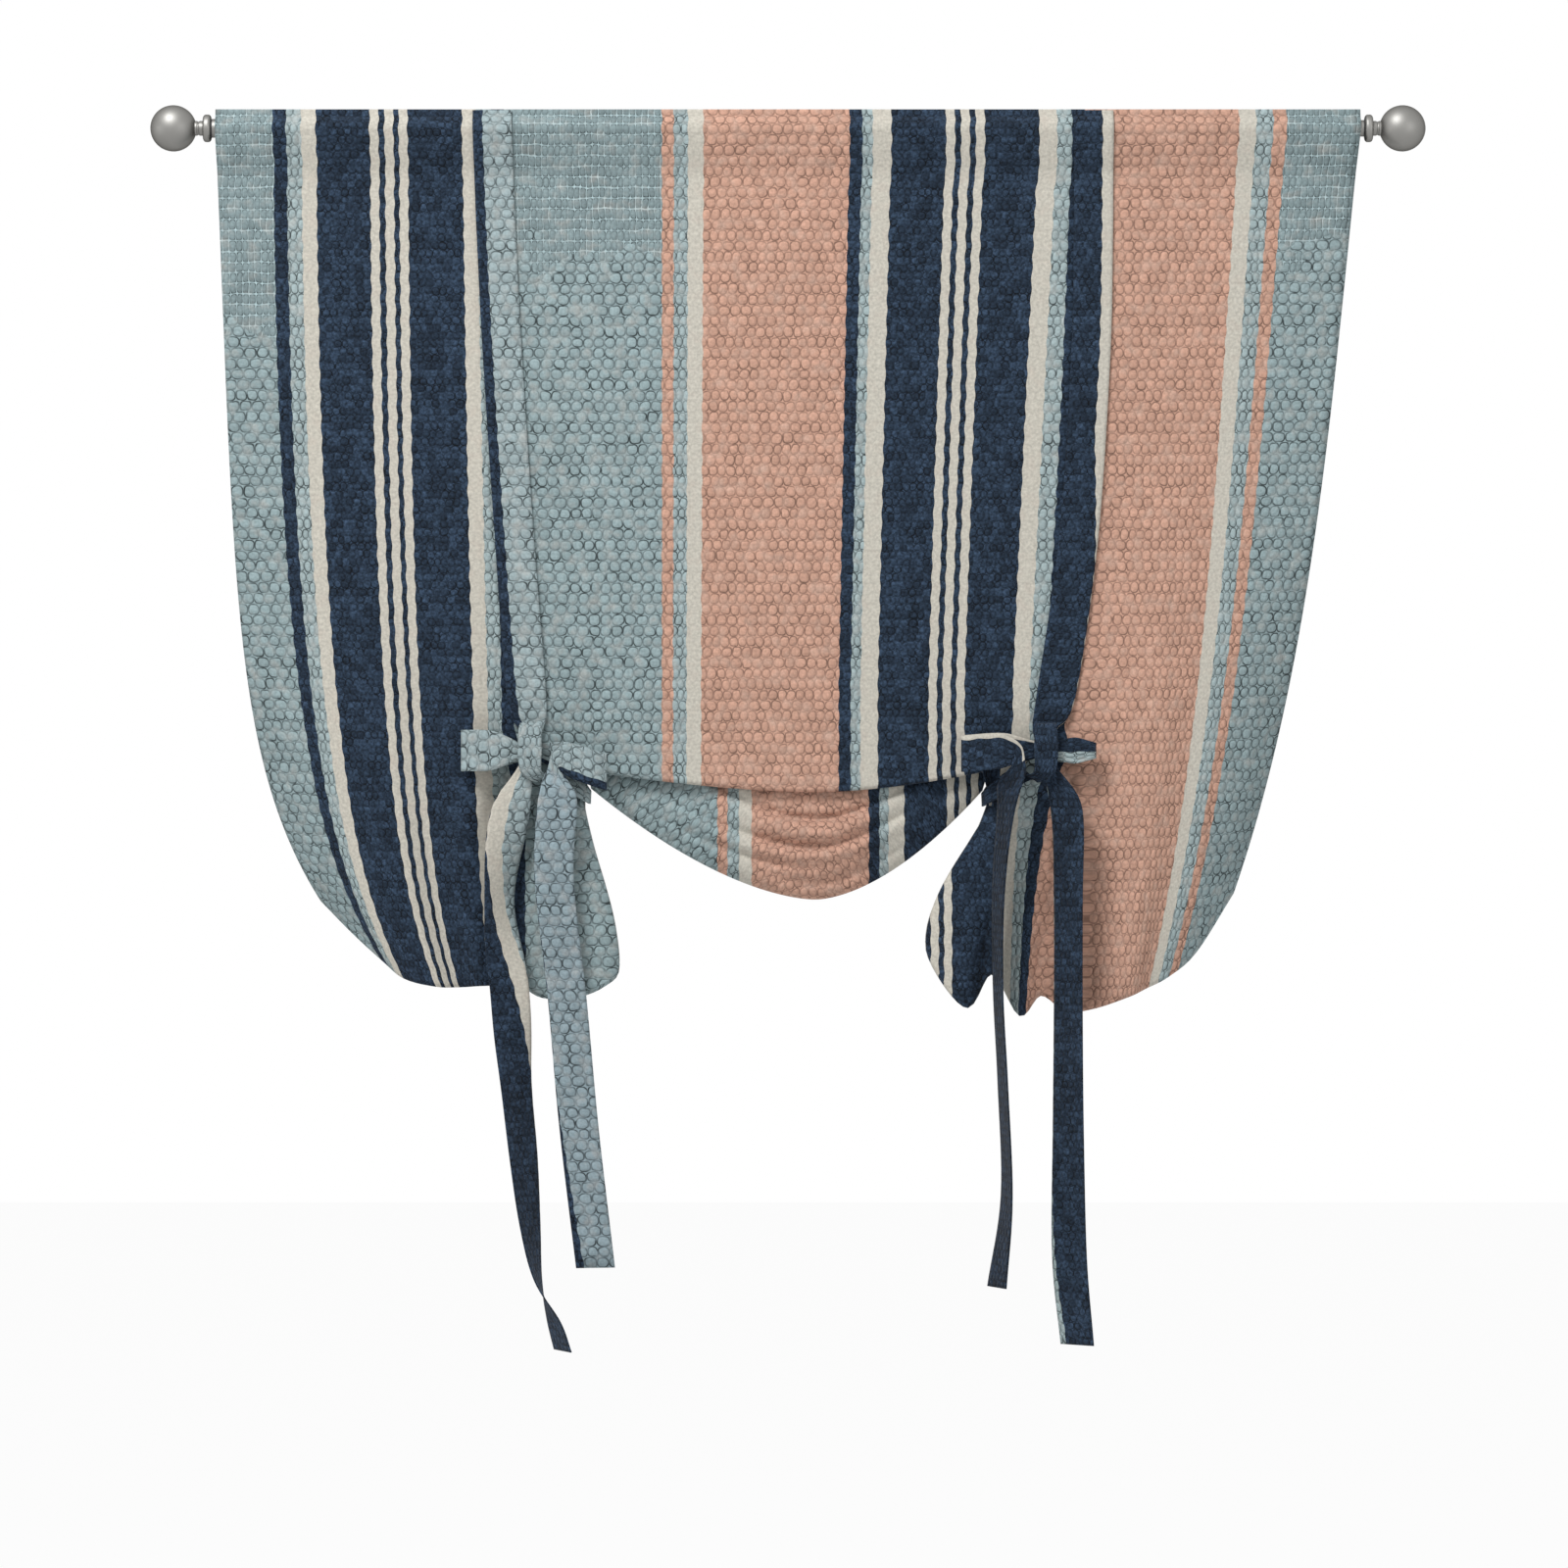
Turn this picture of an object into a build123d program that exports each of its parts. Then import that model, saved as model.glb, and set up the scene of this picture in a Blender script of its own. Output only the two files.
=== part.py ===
"""Tie-up curtain on a telescopic rod.

A striped panel is folded over at the top into a pocket that the rod passes through.
Four straps are sewn in at the heading, two in front and two behind. Each pair lifts the
panel's lower edge and is tied in a bow, so the middle folds into a swag and the sides
fall as tails. Millimetres, +Z up, +X along the rod, -Y towards the room, and the origin
on the rod's axis at the middle of the panel.
"""
from build123d import *
import math
import os

# Rod and finials
rod_diameter = 19.0
tube_wall = 0.8
tube_clearance = 0.3
outer_tube_reach = 100.0
tube_overlap = 400.0
rod_end_gap = 3.0
ball_diameter = 47.0
ball_center_offset = 38.5
neck_diameter = 15.0
neck_groove_depth = 1.5
collar_diameter = 28.0
collar_thickness = 8.0
collar_round = 3.0
stud_diameter = 6.0
stud_length = 30.0
stud_grip = 14.0
stud_chamfer = 0.5
plug_length = 24.0
plug_flange_thickness = 1.5
seat_clearance = 0.1

# Panel
panel_width = 1168.0
cloth_thickness = 1.2
pocket_clearance = 0.3
heading_rise = 19.0
heading_half_gap = 1.6
pocket_seam_drop = 45.0
seam_gap = 0.3
tail_drop = 905.0
fold_depth = 18.0
layer_gap = 9.0
swag_layer_count = 4
hem_drop = 630.0
swag_fold_drop = 655.0
swag_fold_sag = 22.0
swag_overlap = 56.0
swag_apex_drop = 668.0
swag_sag = 119.0

# Straps and bows
strap_width = 40.0
strap_thickness = 1.6
strap_gap = 0.8
tie_offset = 262.0
left_top_offset = 301.5
right_top_offset = 312.0
left_lean_power = 1.4
right_lean_power = 2.9
knot_drop = 635.0
bow_depth = 24.0
left_sling_reach = 63.0
right_sling_reach = 66.5
front_strap_slack = 1.8
back_strap_slack = 3.5
seam_stitch_drop = 4.0
left_outer_reach = 70.0
left_inner_reach = 77.0
right_outer_reach = 51.0
right_inner_reach = 85.0
left_outer_taper_share = 0.0
right_outer_taper_share = 0.62
left_inner_slope_share = 0.24
right_inner_slope_share = 0.0
left_outer_length = 610.0
left_inner_length = 525.0
right_outer_length = 604.0
right_inner_length = 545.0

# Where the cloth's lines end: share of the width across the cloth, share of the half width,
# share of the tail drop, and share of the fold depth towards the wall.
left_hem_shares = [
    (0.000, -0.820, 0.873, 2.2),
    (0.025, -0.764, 0.908, 1.2),
    (0.050, -0.711, 0.938, 0.4),
    (0.087, -0.671, 0.958, -0.4),
    (0.135, -0.613, 0.967, -0.9),
    (0.168, -0.574, 0.968, -0.2),
    (0.215, -0.526, 0.966, -0.8),
    (0.248, -0.469, 0.967, 0.1),
    (0.272, -0.430, 0.980, -0.1),
    (0.292, -0.372, 0.980, -0.5),
    (0.304, -0.318, 0.966, -0.6),
    (0.310, -0.295, 0.944, 0.0),
    (0.314, -0.320, 0.890, 0.6),
    (0.318, -0.351, 0.815, 0.5),
    (0.322, -0.356, 0.738, 0.0),
]
right_hem_shares = [
    (0.676, 0.352, 0.738, 0.0),
    (0.682, 0.338, 0.815, 0.5),
    (0.688, 0.285, 0.885, 0.6),
    (0.695, 0.241, 0.918, 0.0),
    (0.702, 0.268, 0.962, -0.6),
    (0.709, 0.314, 0.991, -0.8),
    (0.719, 0.356, 0.954, 0.2),
    (0.733, 0.404, 1.000, -0.7),
    (0.747, 0.442, 0.978, 0.2),
    (0.762, 0.481, 0.994, -0.3),
    (0.784, 0.524, 0.994, -0.1),
    (0.843, 0.592, 0.979, -1.0),
    (0.894, 0.627, 0.969, -0.3),
    (0.924, 0.664, 0.957, 0.0),
    (0.960, 0.715, 0.930, 0.9),
    (1.000, 0.783, 0.864, 2.2),
]
pocket_side_shares = [(0.24, 0.80), (0.66, 0.45), (0.93, 0.14), (1.0, 0.0)]
pocket_crown_shares = [(0.80, 0.60), (0.33, 1.10)]
left_sway_share = 0.30
right_sway_share = 0.62
left_sway_power = 6.5
right_sway_power = 4.0
swag_low_share = 0.57
swag_left_power = 1.65
swag_right_power = 1.7
side_start_share = 0.28
flare_start_share = 0.70
tail_inner_share = 0.215
tie_blend_share = 0.05
swag_blend_share = 0.035
swag_bulge_share = 0.8

# The straps: shares down the hanging stretch, then side, depth, rise, width and tilt in degrees
hang_shares = [0.01, 0.04, 0.12, 0.35, 0.7, 1.0]
front_gather_share = 1.4
back_gather_share = 2.2
outer_bow_shares = [
    (0.00, -0.20, 0.55, 0.62, 0.0),
    (-0.05, -0.30, 0.08, 0.38, -40.0),
    (-0.22, -0.36, -0.05, 0.50, -82.0),
    (-0.60, -0.48, 0.00, 0.95, -90.0),
    (-0.94, -0.64, 0.00, 1.05, -90.0),
    (-1.00, -0.82, 0.00, 1.06, -90.0),
    (-0.92, -1.00, 0.00, 1.05, -90.0),
    (-0.55, -1.06, 0.00, 1.00, -90.0),
    (-0.20, -0.95, -0.03, 0.50, -98.0),
    (-0.07, -0.84, -0.22, 0.40, -140.0),
]
sling_shares = [
    (0.02, 0.36, 0.51, 0.90, 0.0),
    (0.07, 0.62, 0.14, 0.50, 30.0),
    (0.30, 0.80, -0.14, 0.42, 46.0),
    (0.66, 0.98, -0.44, 0.36, 56.0),
    (0.92, 0.94, -0.72, 0.32, 80.0),
    (0.95, 0.10, -0.76, 0.32, 90.0),
    (0.88, -0.40, -0.70, 0.36, 76.0),
    (0.58, -0.50, -0.48, 0.46, 58.0),
    (0.30, -0.56, -0.34, 0.46, 48.0),
]
wrap_shares = [
    (0.34, -0.92, -0.70, 0.40, 30.0),
    (0.06, -1.26, -0.58, 0.50, 6.0),
    (0.00, -1.36, -0.30, 0.58, 0.0),
    (0.00, -1.40, 0.15, 0.60, 0.0),
    (0.00, -1.22, 0.58, 0.56, 0.0),
    (0.00, -0.86, 0.68, 0.48, 0.0),
    (0.02, -0.62, 0.42, 0.42, 15.0),
    (0.08, -0.58, 0.10, 0.38, 55.0),
]
inner_bow_shares = [
    (0.18, -0.62, 0.02, 0.50, 86.0),
    (0.50, -0.66, 0.02, 0.85, 90.0),
    (0.93, -0.74, -0.06, 0.92, 90.0),
    (1.00, -0.92, -0.08, 0.92, 90.0),
    (0.90, -1.10, -0.08, 0.92, 90.0),
    (0.55, -1.16, -0.02, 0.88, 90.0),
    (0.36, -1.12, -0.10, 0.60, 108.0),
    (0.37, -1.14, -0.42, 0.62, 145.0),
]
# The hanging ends: side as a share of the strap's width, share of the length, and yaw in degrees
outer_tail_depth_share = 1.05
inner_tail_depth_share = 1.40
left_outer_tail_shares = [
    (-0.50, 0.10, 10.0),
    (-0.78, 0.25, 45.0),
    (-0.52, 0.40, 8.0),
    (-0.37, 0.545, 40.0),
    (-0.17, 0.675, 48.0),
    (0.00, 0.79, 62.0),
    (0.20, 0.88, 82.0),
    (0.60, 0.95, 112.0),
    (0.83, 1.00, 118.0),
]
left_inner_tail_shares = [
    (0.70, 0.10, 0.0),
    (0.62, 0.25, 10.0),
    (0.95, 0.48, 14.0),
    (1.25, 0.73, 8.0),
    (1.67, 1.00, 12.0),
]
right_outer_tail_shares = [
    (-0.53, 0.10, 40.0),
    (-0.57, 0.26, 47.0),
    (-0.57, 0.44, 47.0),
    (-0.57, 0.64, 42.0),
    (-0.60, 0.85, 32.0),
    (-0.80, 1.00, 36.0),
]
right_inner_tail_shares = [
    (0.98, 0.09, 62.0),
    (1.20, 0.25, 74.0),
    (1.22, 0.44, 78.0),
    (1.10, 0.62, 78.0),
    (1.00, 0.83, 76.0),
    (1.25, 1.00, 64.0),
]
strap_across_shares = [-0.5, 0.0, 0.5]

# How finely the cloth is drawn
across_pitch_share = 0.03
swag_across_steps = 12
turn_steps = 4
front_steps = 6
layer_steps = 3
strap_steps = 2

# Worked out from the sizes above
half_width = panel_width / 2
rod_radius = rod_diameter / 2
outer_bore_radius = rod_radius - tube_wall
inner_tube_radius = outer_bore_radius - tube_clearance
inner_bore_radius = inner_tube_radius - tube_wall
rod_half_length = half_width + rod_end_gap
pocket_radius = rod_radius + pocket_clearance + cloth_thickness / 2
strap_stand = (cloth_thickness + strap_thickness) / 2 + strap_gap
strap_hang = knot_drop - pocket_seam_drop - seam_stitch_drop
strap_rise = knot_drop + heading_rise
swag_start = left_hem_shares[-1][0]
swag_end = right_hem_shares[0][0]


def ease(share):
    """Smooth step from 0 to 1."""
    share = min(1.0, max(0.0, share))
    return share * share * (3 - 2 * share)


def blend(first, second, share):
    return first + (second - first) * share


def table_row(table, across):
    """A row of a hem table at any place across the cloth, on a smooth curve."""
    last = len(table) - 2
    index = 0
    while index < last and across > table[index + 1][0]:
        index += 1
    before = table[max(index - 1, 0)]
    here = table[index]
    there = table[index + 1]
    after = table[min(index + 2, len(table) - 1)]
    span = there[0] - here[0]
    share = (across - here[0]) / span
    values = []
    for column in range(1, len(here)):
        slope_here = (there[column] - before[column]) / max(there[0] - before[0], span) * span
        slope_there = (after[column] - here[column]) / max(after[0] - here[0], span) * span
        square = share * share
        cube = square * share
        values.append(
            here[column] * (2 * cube - 3 * square + 1)
            + slope_here * (cube - 2 * square + share)
            + there[column] * (3 * square - 2 * cube)
            + slope_there * (cube - square)
        )
    return values


def turn(near, far, level, direction):
    """Depth and height of a round fold from one layer to the next."""
    radius = (far - near) / 2
    middle = (far + near) / 2
    points = []
    for index in range(turn_steps + 1):
        angle = math.pi * index / turn_steps
        points.append((middle - radius * math.cos(angle), level + direction * radius * math.sin(angle)))
    return points


def run(start, end, steps):
    """Points from one end to the other, both included."""
    return [
        (blend(start[0], end[0], i / steps), blend(start[1], end[1], i / steps))
        for i in range(steps + 1)
    ]


def pocket_path():
    """Depth and height of the pocket: up its back, over the heading and down its front."""
    tip = heading_rise - heading_half_gap
    back = [(cloth_thickness + seam_gap, -pocket_seam_drop)]
    for reach, drop in pocket_side_shares:
        back.append((pocket_radius * reach, -pocket_seam_drop * drop))
    for reach, rise in pocket_crown_shares:
        back.append((pocket_radius * reach, pocket_radius * rise))
    back.append((heading_half_gap, tip))
    front = [(-depth, height) for depth, height in reversed(back)]
    front[-1] = (0.0, -pocket_seam_drop)
    crown = [(-depth, height) for depth, height in turn(-heading_half_gap, heading_half_gap, tip, 1)]
    return [back, crown, front]


def swag_share(across):
    """How far down the swag hangs at a place across the cloth, from 0 at the ties to 1."""
    place = (across - swag_start) / (swag_end - swag_start)
    if place < swag_low_share:
        return 1 - (1 - place / swag_low_share) ** swag_left_power
    return 1 - (1 - (1 - place) / (1 - swag_low_share)) ** swag_right_power


def edge_at(across):
    """Sideways place, drop and depth where a line of the cloth reaches its lowest fold."""
    if across <= swag_start:
        table = left_hem_shares
    elif across >= swag_end:
        table = right_hem_shares
    else:
        drop = swag_fold_drop + swag_fold_sag * swag_share(across)
        return blend(-half_width, half_width, across), drop, 0.0
    side, drop, depth = table_row(table, across)
    return side * half_width, drop * tail_drop, depth * fold_depth


def near_tie(across):
    """1 where the cloth goes through a tie and fans out below it, 0 out on the tails."""
    if across < swag_low_share:
        return ease((across - tail_inner_share) / tie_blend_share)
    return ease((1 - tail_inner_share - across) / tie_blend_share)


def fan_share(drop, height):
    """How far a line of the cloth has fanned out below its tie, from 0 to 1."""
    start = flare_start_share * tail_drop
    return ease((-height - start) / max(drop - start, layer_gap))


def sideways(across, height):
    """Where a line of the cloth lies from left to right at a height."""
    top = blend(-half_width, half_width, across)
    edge, drop, _ = edge_at(across)
    fall = min(1.0, max(0.0, -height / drop))
    left = across < swag_low_share
    linear = left_sway_share if left else right_sway_share
    power = left_sway_power if left else right_sway_power
    swayed = blend(top, edge, linear * fall + (1 - linear) * fall ** power)
    return blend(swayed, blend(top, edge, fan_share(drop, height)), near_tie(across))


def billow(across, height):
    """How far a line of the cloth stands towards the wall at a height."""
    _, drop, depth = edge_at(across)
    start = side_start_share * tail_drop
    side = ease((-height - start) / (drop - start))
    return depth * blend(side, fan_share(drop, height), near_tie(across))


def plain_layers(drop, hem):
    """The cloth of a tail: a fold at its lowest point, then one layer up to the hem."""
    first = turn(0.0, layer_gap, -drop + layer_gap / 2, -1)
    spans = [first]
    span_steps = (layer_steps, turn_steps, layer_steps, turn_steps, layer_steps)
    for index, steps in enumerate(span_steps):
        low = blend(first[-1][1], hem, index / len(span_steps))
        high = blend(first[-1][1], hem, (index + 1) / len(span_steps))
        spans.append(run((layer_gap, low), (layer_gap, high), steps))
    return spans


def swag_layers(across, drop, hem):
    """The cloth of the swag: folded up behind the front, down to the swag, and up to the hem."""
    hang = swag_share(across)
    layers = [index * layer_gap for index in range(swag_layer_count)]
    top = -drop + swag_overlap * hang
    low = -(swag_apex_drop + swag_sag * hang)
    first = turn(layers[0], layers[1], -drop + layer_gap / 2, -1)
    second = turn(layers[1], layers[2], top - layer_gap / 2, 1)
    third = turn(layers[2], layers[3], low + layer_gap / 2, -1)
    fall = run(second[-1], third[0], layer_steps)
    bulge = layer_gap * swag_bulge_share * hang
    fall = [
        (y - bulge * math.sin(math.pi * i / layer_steps), z) for i, (y, z) in enumerate(fall)
    ]
    rise = run(first[-1], second[0], layer_steps)
    back = run(third[-1], (layers[3], hem), layer_steps)
    return [first, rise, second, fall, third, back]


def cloth_line(across):
    """One line of the cloth, in spans, from the pocket seam over the rod to the hidden hem."""
    _, drop, _ = edge_at(across)
    hem = -min(hem_drop, drop - layer_gap)
    layers = plain_layers(drop, hem)
    if swag_start < across < swag_end:
        edge_share = min(across - swag_start, swag_end - across) / (swag_end - swag_start)
        share = ease(edge_share / swag_blend_share)
        pairs = zip(layers, swag_layers(across, drop, hem))
        layers = [
            [(blend(a[0], b[0], share), blend(a[1], b[1], share)) for a, b in zip(plain, gathered)]
            for plain, gathered in pairs
        ]
    front = run((0.0, -pocket_seam_drop), layers[0][0], front_steps)
    spans = []
    for span in pocket_path():
        spans.append([Vector(sideways(across, z), y, z) for y, z in span])
    for index, span in enumerate([front] + layers):
        points = [Vector(sideways(across, z), y + billow(across, z), z) for y, z in span]
        spans += facets(points) if index % 2 else [points]
    return spans


def facets(points):
    """A tight turn as short straight spans."""
    return [[first, second] for first, second in zip(points, points[1:])]


def across_places():
    """Places across the cloth: close together at the tails, even along the swag."""
    places = []
    for table in (left_hem_shares, right_hem_shares):
        for here, there in zip(table, table[1:]):
            steps = math.ceil((there[0] - here[0]) / across_pitch_share)
            places += [blend(here[0], there[0], i / steps) for i in range(steps)]
        places.append(table[-1][0])
    middle = [blend(swag_start, swag_end, i / swag_across_steps) for i in range(1, swag_across_steps)]
    return sorted(places + middle)


def joined(spans):
    """The points of all spans in one list, each shared end once."""
    points = list(spans[0])
    for span in spans[1:]:
        points += span[1:]
    return points


def cloth_solid(lines, thickness):
    """A closed sheet of one thickness around lines of points, in spans, that lie side by side."""
    grid = [joined(spans) for spans in lines]
    rows = len(grid)
    columns = len(grid[0])
    sides = ([], [])
    for i in range(rows):
        offsets = []
        for j in range(columns):
            along = grid[min(i + 1, rows - 1)][j] - grid[max(i - 1, 0)][j]
            before = grid[i][j] - grid[i][max(j - 1, 0)]
            after = grid[i][min(j + 1, columns - 1)] - grid[i][j]
            heading = Vector(0, 0, 0)
            for step in (before, after):
                if step.length > 0:
                    heading += step.normalized()
            offsets.append(along.cross(heading).normalized() * (thickness / 2))
        for side, sign in zip(sides, (-1, 1)):
            moved = [point + offset * sign for point, offset in zip(grid[i], offsets)]
            side.append(moved)
    faces = []
    edges = ([], [])
    lengths = [len(span) - 1 for span in lines[0]]
    for side, side_edges in zip(sides, edges):
        for moved in side:
            start = 0
            row = []
            for length in lengths:
                points = moved[start:start + length + 1]
                row.append(Edge.make_line(*points) if length == 1 else Edge.make_spline(points))
                start += length
            side_edges.append(row)
        for first, second in zip(side_edges, side_edges[1:]):
            faces += [ruled(a, b) for a, b in zip(first, second)]
    for end in (0, rows - 1):
        faces += [ruled(a, b) for a, b in zip(edges[0][end], edges[1][end])]
    for end in (0, columns - 1):
        for i in range(rows - 1):
            rims = [Edge.make_line(side[i][end], side[i + 1][end]) for side in sides]
            faces.append(ruled(*rims))
    return Solid(Shell(faces))


def ruled(first, second):
    return Face.make_surface_from_curves(first, second)


def curtain_panel():
    return cloth_solid([cloth_line(across) for across in across_places()], cloth_thickness)


def strap_across(tilt, yaw, inward):
    """Unit vector across a strap: tilt turns it in the panel's plane, yaw about the vertical."""
    tilt = math.radians(tilt)
    yaw = math.radians(yaw)
    level = math.cos(tilt)
    return Vector(inward * level * math.cos(yaw), level * math.sin(yaw), math.sin(tilt))


def strap_solid(stations, inward, knot):
    """A strap along stations of side, depth, rise, width, tilt and yaw, measured from the knot."""
    lines = []
    for across in strap_across_shares:
        line = []
        for side, depth, rise, width, tilt, yaw in stations:
            center = knot + Vector(inward * side, depth, rise)
            line.append(center + strap_across(tilt, yaw, inward) * (width * across))
        lines.append([line[i:i + strap_steps + 1] for i in range(0, len(line) - 1, strap_steps)])
    return cloth_solid(lines, strap_thickness)


def refined(stations):
    """Stations with smooth ones added in between, a whole number of spans in all."""
    table = [(index, *station) for index, station in enumerate(stations)]
    count = (len(stations) - 1) * strap_steps
    return [table_row(table, index / strap_steps) for index in range(count + 1)]


def bow_stations(shares, reach, height, slope=0.0, taper=0.0):
    """Stations of a bow. It droops by its slope and narrows by its taper away from the knot."""
    stations = []
    for side, depth, rise, width, tilt in shares:
        drop = slope * side * reach
        wide = width * strap_width * (1 - taper * abs(side))
        stations.append((side * reach, depth * bow_depth, rise * height - drop, wide, tilt, 0.0))
    return stations


def tail_stations(shares, depth_share, length, tilt):
    """Stations of a hanging end from shares of the strap's width and of its length."""
    return [
        (side * strap_width, -depth_share * bow_depth, -drop * length, strap_width, tilt, yaw)
        for side, drop, yaw in shares
    ]


def hanging_station(depth, rise, lean):
    """A station of the stretch from the heading, which leans in towards the knot."""
    top_offset, power = lean
    fall = max(0.0, 1 - rise / strap_rise)
    side = (tie_offset - top_offset) * (1 - fall ** power)
    return (side, depth, rise, strap_width, 0.0, 0.0)


def heading_stations(front, lean):
    """Stations of a strap's top end, which lies over the pocket from the heading to its seam."""
    profile = pocket_path()[2] if front else pocket_path()[0][::-1]
    stand = strap_stand if front else -strap_stand
    stations = []
    for before, here, after in zip(profile[:1] + profile, profile, profile[1:] + profile[-1:]):
        along = Vector(0, after[0] - before[0], after[1] - before[1]).normalized()
        depth = here[0] + along.Z * stand
        rise = knot_drop + here[1] - along.Y * stand
        stations.append(hanging_station(depth, rise, lean))
    return stations


def hanging_stations(front, lower_rise, lean):
    """Stations of a strap from the heading, over the pocket and down to the knot."""
    stations = heading_stations(front, lean)
    for share in hang_shares:
        depth = -strap_stand - front_strap_slack * share
        if not front:
            depth = strap_stand + cloth_thickness + seam_gap + back_strap_slack * share
        stations.append(hanging_station(depth, blend(strap_hang, lower_rise, share), lean))
    return stations


def tie_pair(
    inward, lean, sling_reach, outer_reach, outer_taper, inner_reach, inner_slope,
    outer_tail, outer_length, inner_tail, inner_length,
):
    """The front and the back strap of one tie, with the bow that they make together."""
    knot = Vector(-inward * tie_offset, 0, -knot_drop)
    front = hanging_stations(True, front_gather_share * strap_width, lean)
    front += bow_stations(outer_bow_shares, outer_reach, strap_width, taper=outer_taper)
    front += tail_stations(outer_tail, outer_tail_depth_share, outer_length, -180.0)
    back = hanging_stations(False, back_gather_share * strap_width, lean)
    back += bow_stations(sling_shares, sling_reach, sling_reach)
    back += bow_stations(wrap_shares, strap_width, strap_width)
    back += bow_stations(inner_bow_shares, inner_reach, strap_width, slope=inner_slope)
    back += tail_stations(inner_tail, inner_tail_depth_share, inner_length, 180.0)
    return strap_solid(refined(front), inward, knot), strap_solid(refined(back), inward, knot)


def tube(radius, start, end):
    """A tube along the rod's axis."""
    ring = Plane.YZ * (Circle(radius) - Circle(radius - tube_wall))
    return Pos(start, 0, 0) * extrude(ring, end - start)


def finial(outward):
    """Ball, neck and collar turned in one piece, with a blind hole for the stud."""
    reach = ball_center_offset
    ball = Pos(reach, 0, 0) * Sphere(ball_diameter / 2)
    neck = Pos(reach / 2, 0, 0) * Cylinder(neck_diameter / 2, reach, rotation=(0, 90, 0))
    groove_place = (collar_thickness + reach - ball_diameter / 2) / 2
    groove = Pos(groove_place + neck_groove_depth, 0, 0) * Rot(0, 90, 0) * Torus(
        neck_diameter / 2 + neck_groove_depth / 2, neck_groove_depth
    )
    collar = Pos(collar_thickness / 2, 0, 0) * Cylinder(
        collar_diameter / 2, collar_thickness, rotation=(0, 90, 0)
    )
    collar = fillet(collar.edges().filter_by(GeomType.CIRCLE), collar_round)
    hole_depth = stud_length - stud_grip + seat_clearance
    hole = Pos(hole_depth / 2, 0, 0) * Cylinder(
        stud_diameter / 2 + seat_clearance, hole_depth, rotation=(0, 90, 0)
    )
    body = collar + neck - groove + ball - hole
    turned = body if outward > 0 else Rot(0, 0, 180) * body
    return Pos(outward * (rod_half_length + plug_flange_thickness), 0, 0) * turned


def finial_stud(outward):
    """The steel stud that screws into the finial and the plug."""
    start = rod_half_length + plug_flange_thickness - stud_grip
    rod = Pos(stud_length / 2, 0, 0) * Cylinder(stud_diameter / 2, stud_length, rotation=(0, 90, 0))
    rod = chamfer(rod.edges().filter_by(GeomType.CIRCLE), stud_chamfer)
    turned = rod if outward > 0 else Rot(0, 0, 180) * rod
    return Pos(outward * start, 0, 0) * turned


def end_plug(outward, bore_radius, rim_radius):
    """The moulded plug that closes a tube's end and takes the stud."""
    body = Pos(-plug_length / 2, 0, 0) * Cylinder(
        bore_radius - seat_clearance, plug_length, rotation=(0, 90, 0)
    )
    flange = Pos(plug_flange_thickness / 2, 0, 0) * Cylinder(
        rim_radius, plug_flange_thickness, rotation=(0, 90, 0)
    )
    length = plug_length + plug_flange_thickness
    hole = Pos(plug_flange_thickness - length / 2, 0, 0) * Cylinder(
        stud_diameter / 2 + seat_clearance, length, rotation=(0, 90, 0)
    )
    plug = body + flange - hole
    turned = plug if outward > 0 else Rot(0, 0, 180) * plug
    return Pos(outward * rod_half_length, 0, 0) * turned


def build():
    """Every piece of the hung curtain by its node's name."""
    left_front, left_back = tie_pair(
        1, (left_top_offset, left_lean_power), left_sling_reach,
        left_outer_reach, left_outer_taper_share, left_inner_reach, left_inner_slope_share,
        left_outer_tail_shares, left_outer_length, left_inner_tail_shares, left_inner_length,
    )
    right_front, right_back = tie_pair(
        -1, (right_top_offset, right_lean_power), right_sling_reach,
        right_outer_reach, right_outer_taper_share, right_inner_reach, right_inner_slope_share,
        right_outer_tail_shares, right_outer_length, right_inner_tail_shares, right_inner_length,
    )
    return {
        "curtain_panel": curtain_panel(),
        "left_front_tie": left_front,
        "left_back_tie": left_back,
        "right_front_tie": right_front,
        "right_back_tie": right_back,
        "rod_outer_tube": tube(rod_radius, -rod_half_length, outer_tube_reach),
        "rod_inner_tube": tube(inner_tube_radius, outer_tube_reach - tube_overlap, rod_half_length),
        "left_finial": finial(-1),
        "right_finial": finial(1),
        "left_finial_stud": finial_stud(-1),
        "right_finial_stud": finial_stud(1),
        "left_end_plug": end_plug(-1, outer_bore_radius, rod_radius),
        "right_end_plug": end_plug(1, inner_bore_radius, inner_tube_radius),
    }


if __name__ == "__main__":
    os.makedirs("parts", exist_ok=True)
    for node, shape in build().items():
        export_step(shape, os.path.join("parts", node + ".step"))
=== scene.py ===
# %% [markdown]
# # A tie-up curtain
# A tie-up curtain is one hemmed sheet of cloth. Its top is sewn into a pocket that a rod passes
# through, and straps that are sewn in at the heading lift its lower edge. Tied in bows, they fold
# the middle into a swag and let the sides fall as tails. This lesson drapes the sheet by formula,
# winds the straps along a list of stations, and prints stripes and a chunky weave on both.

# %% Load the frame
import math
from functools import partial

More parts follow.
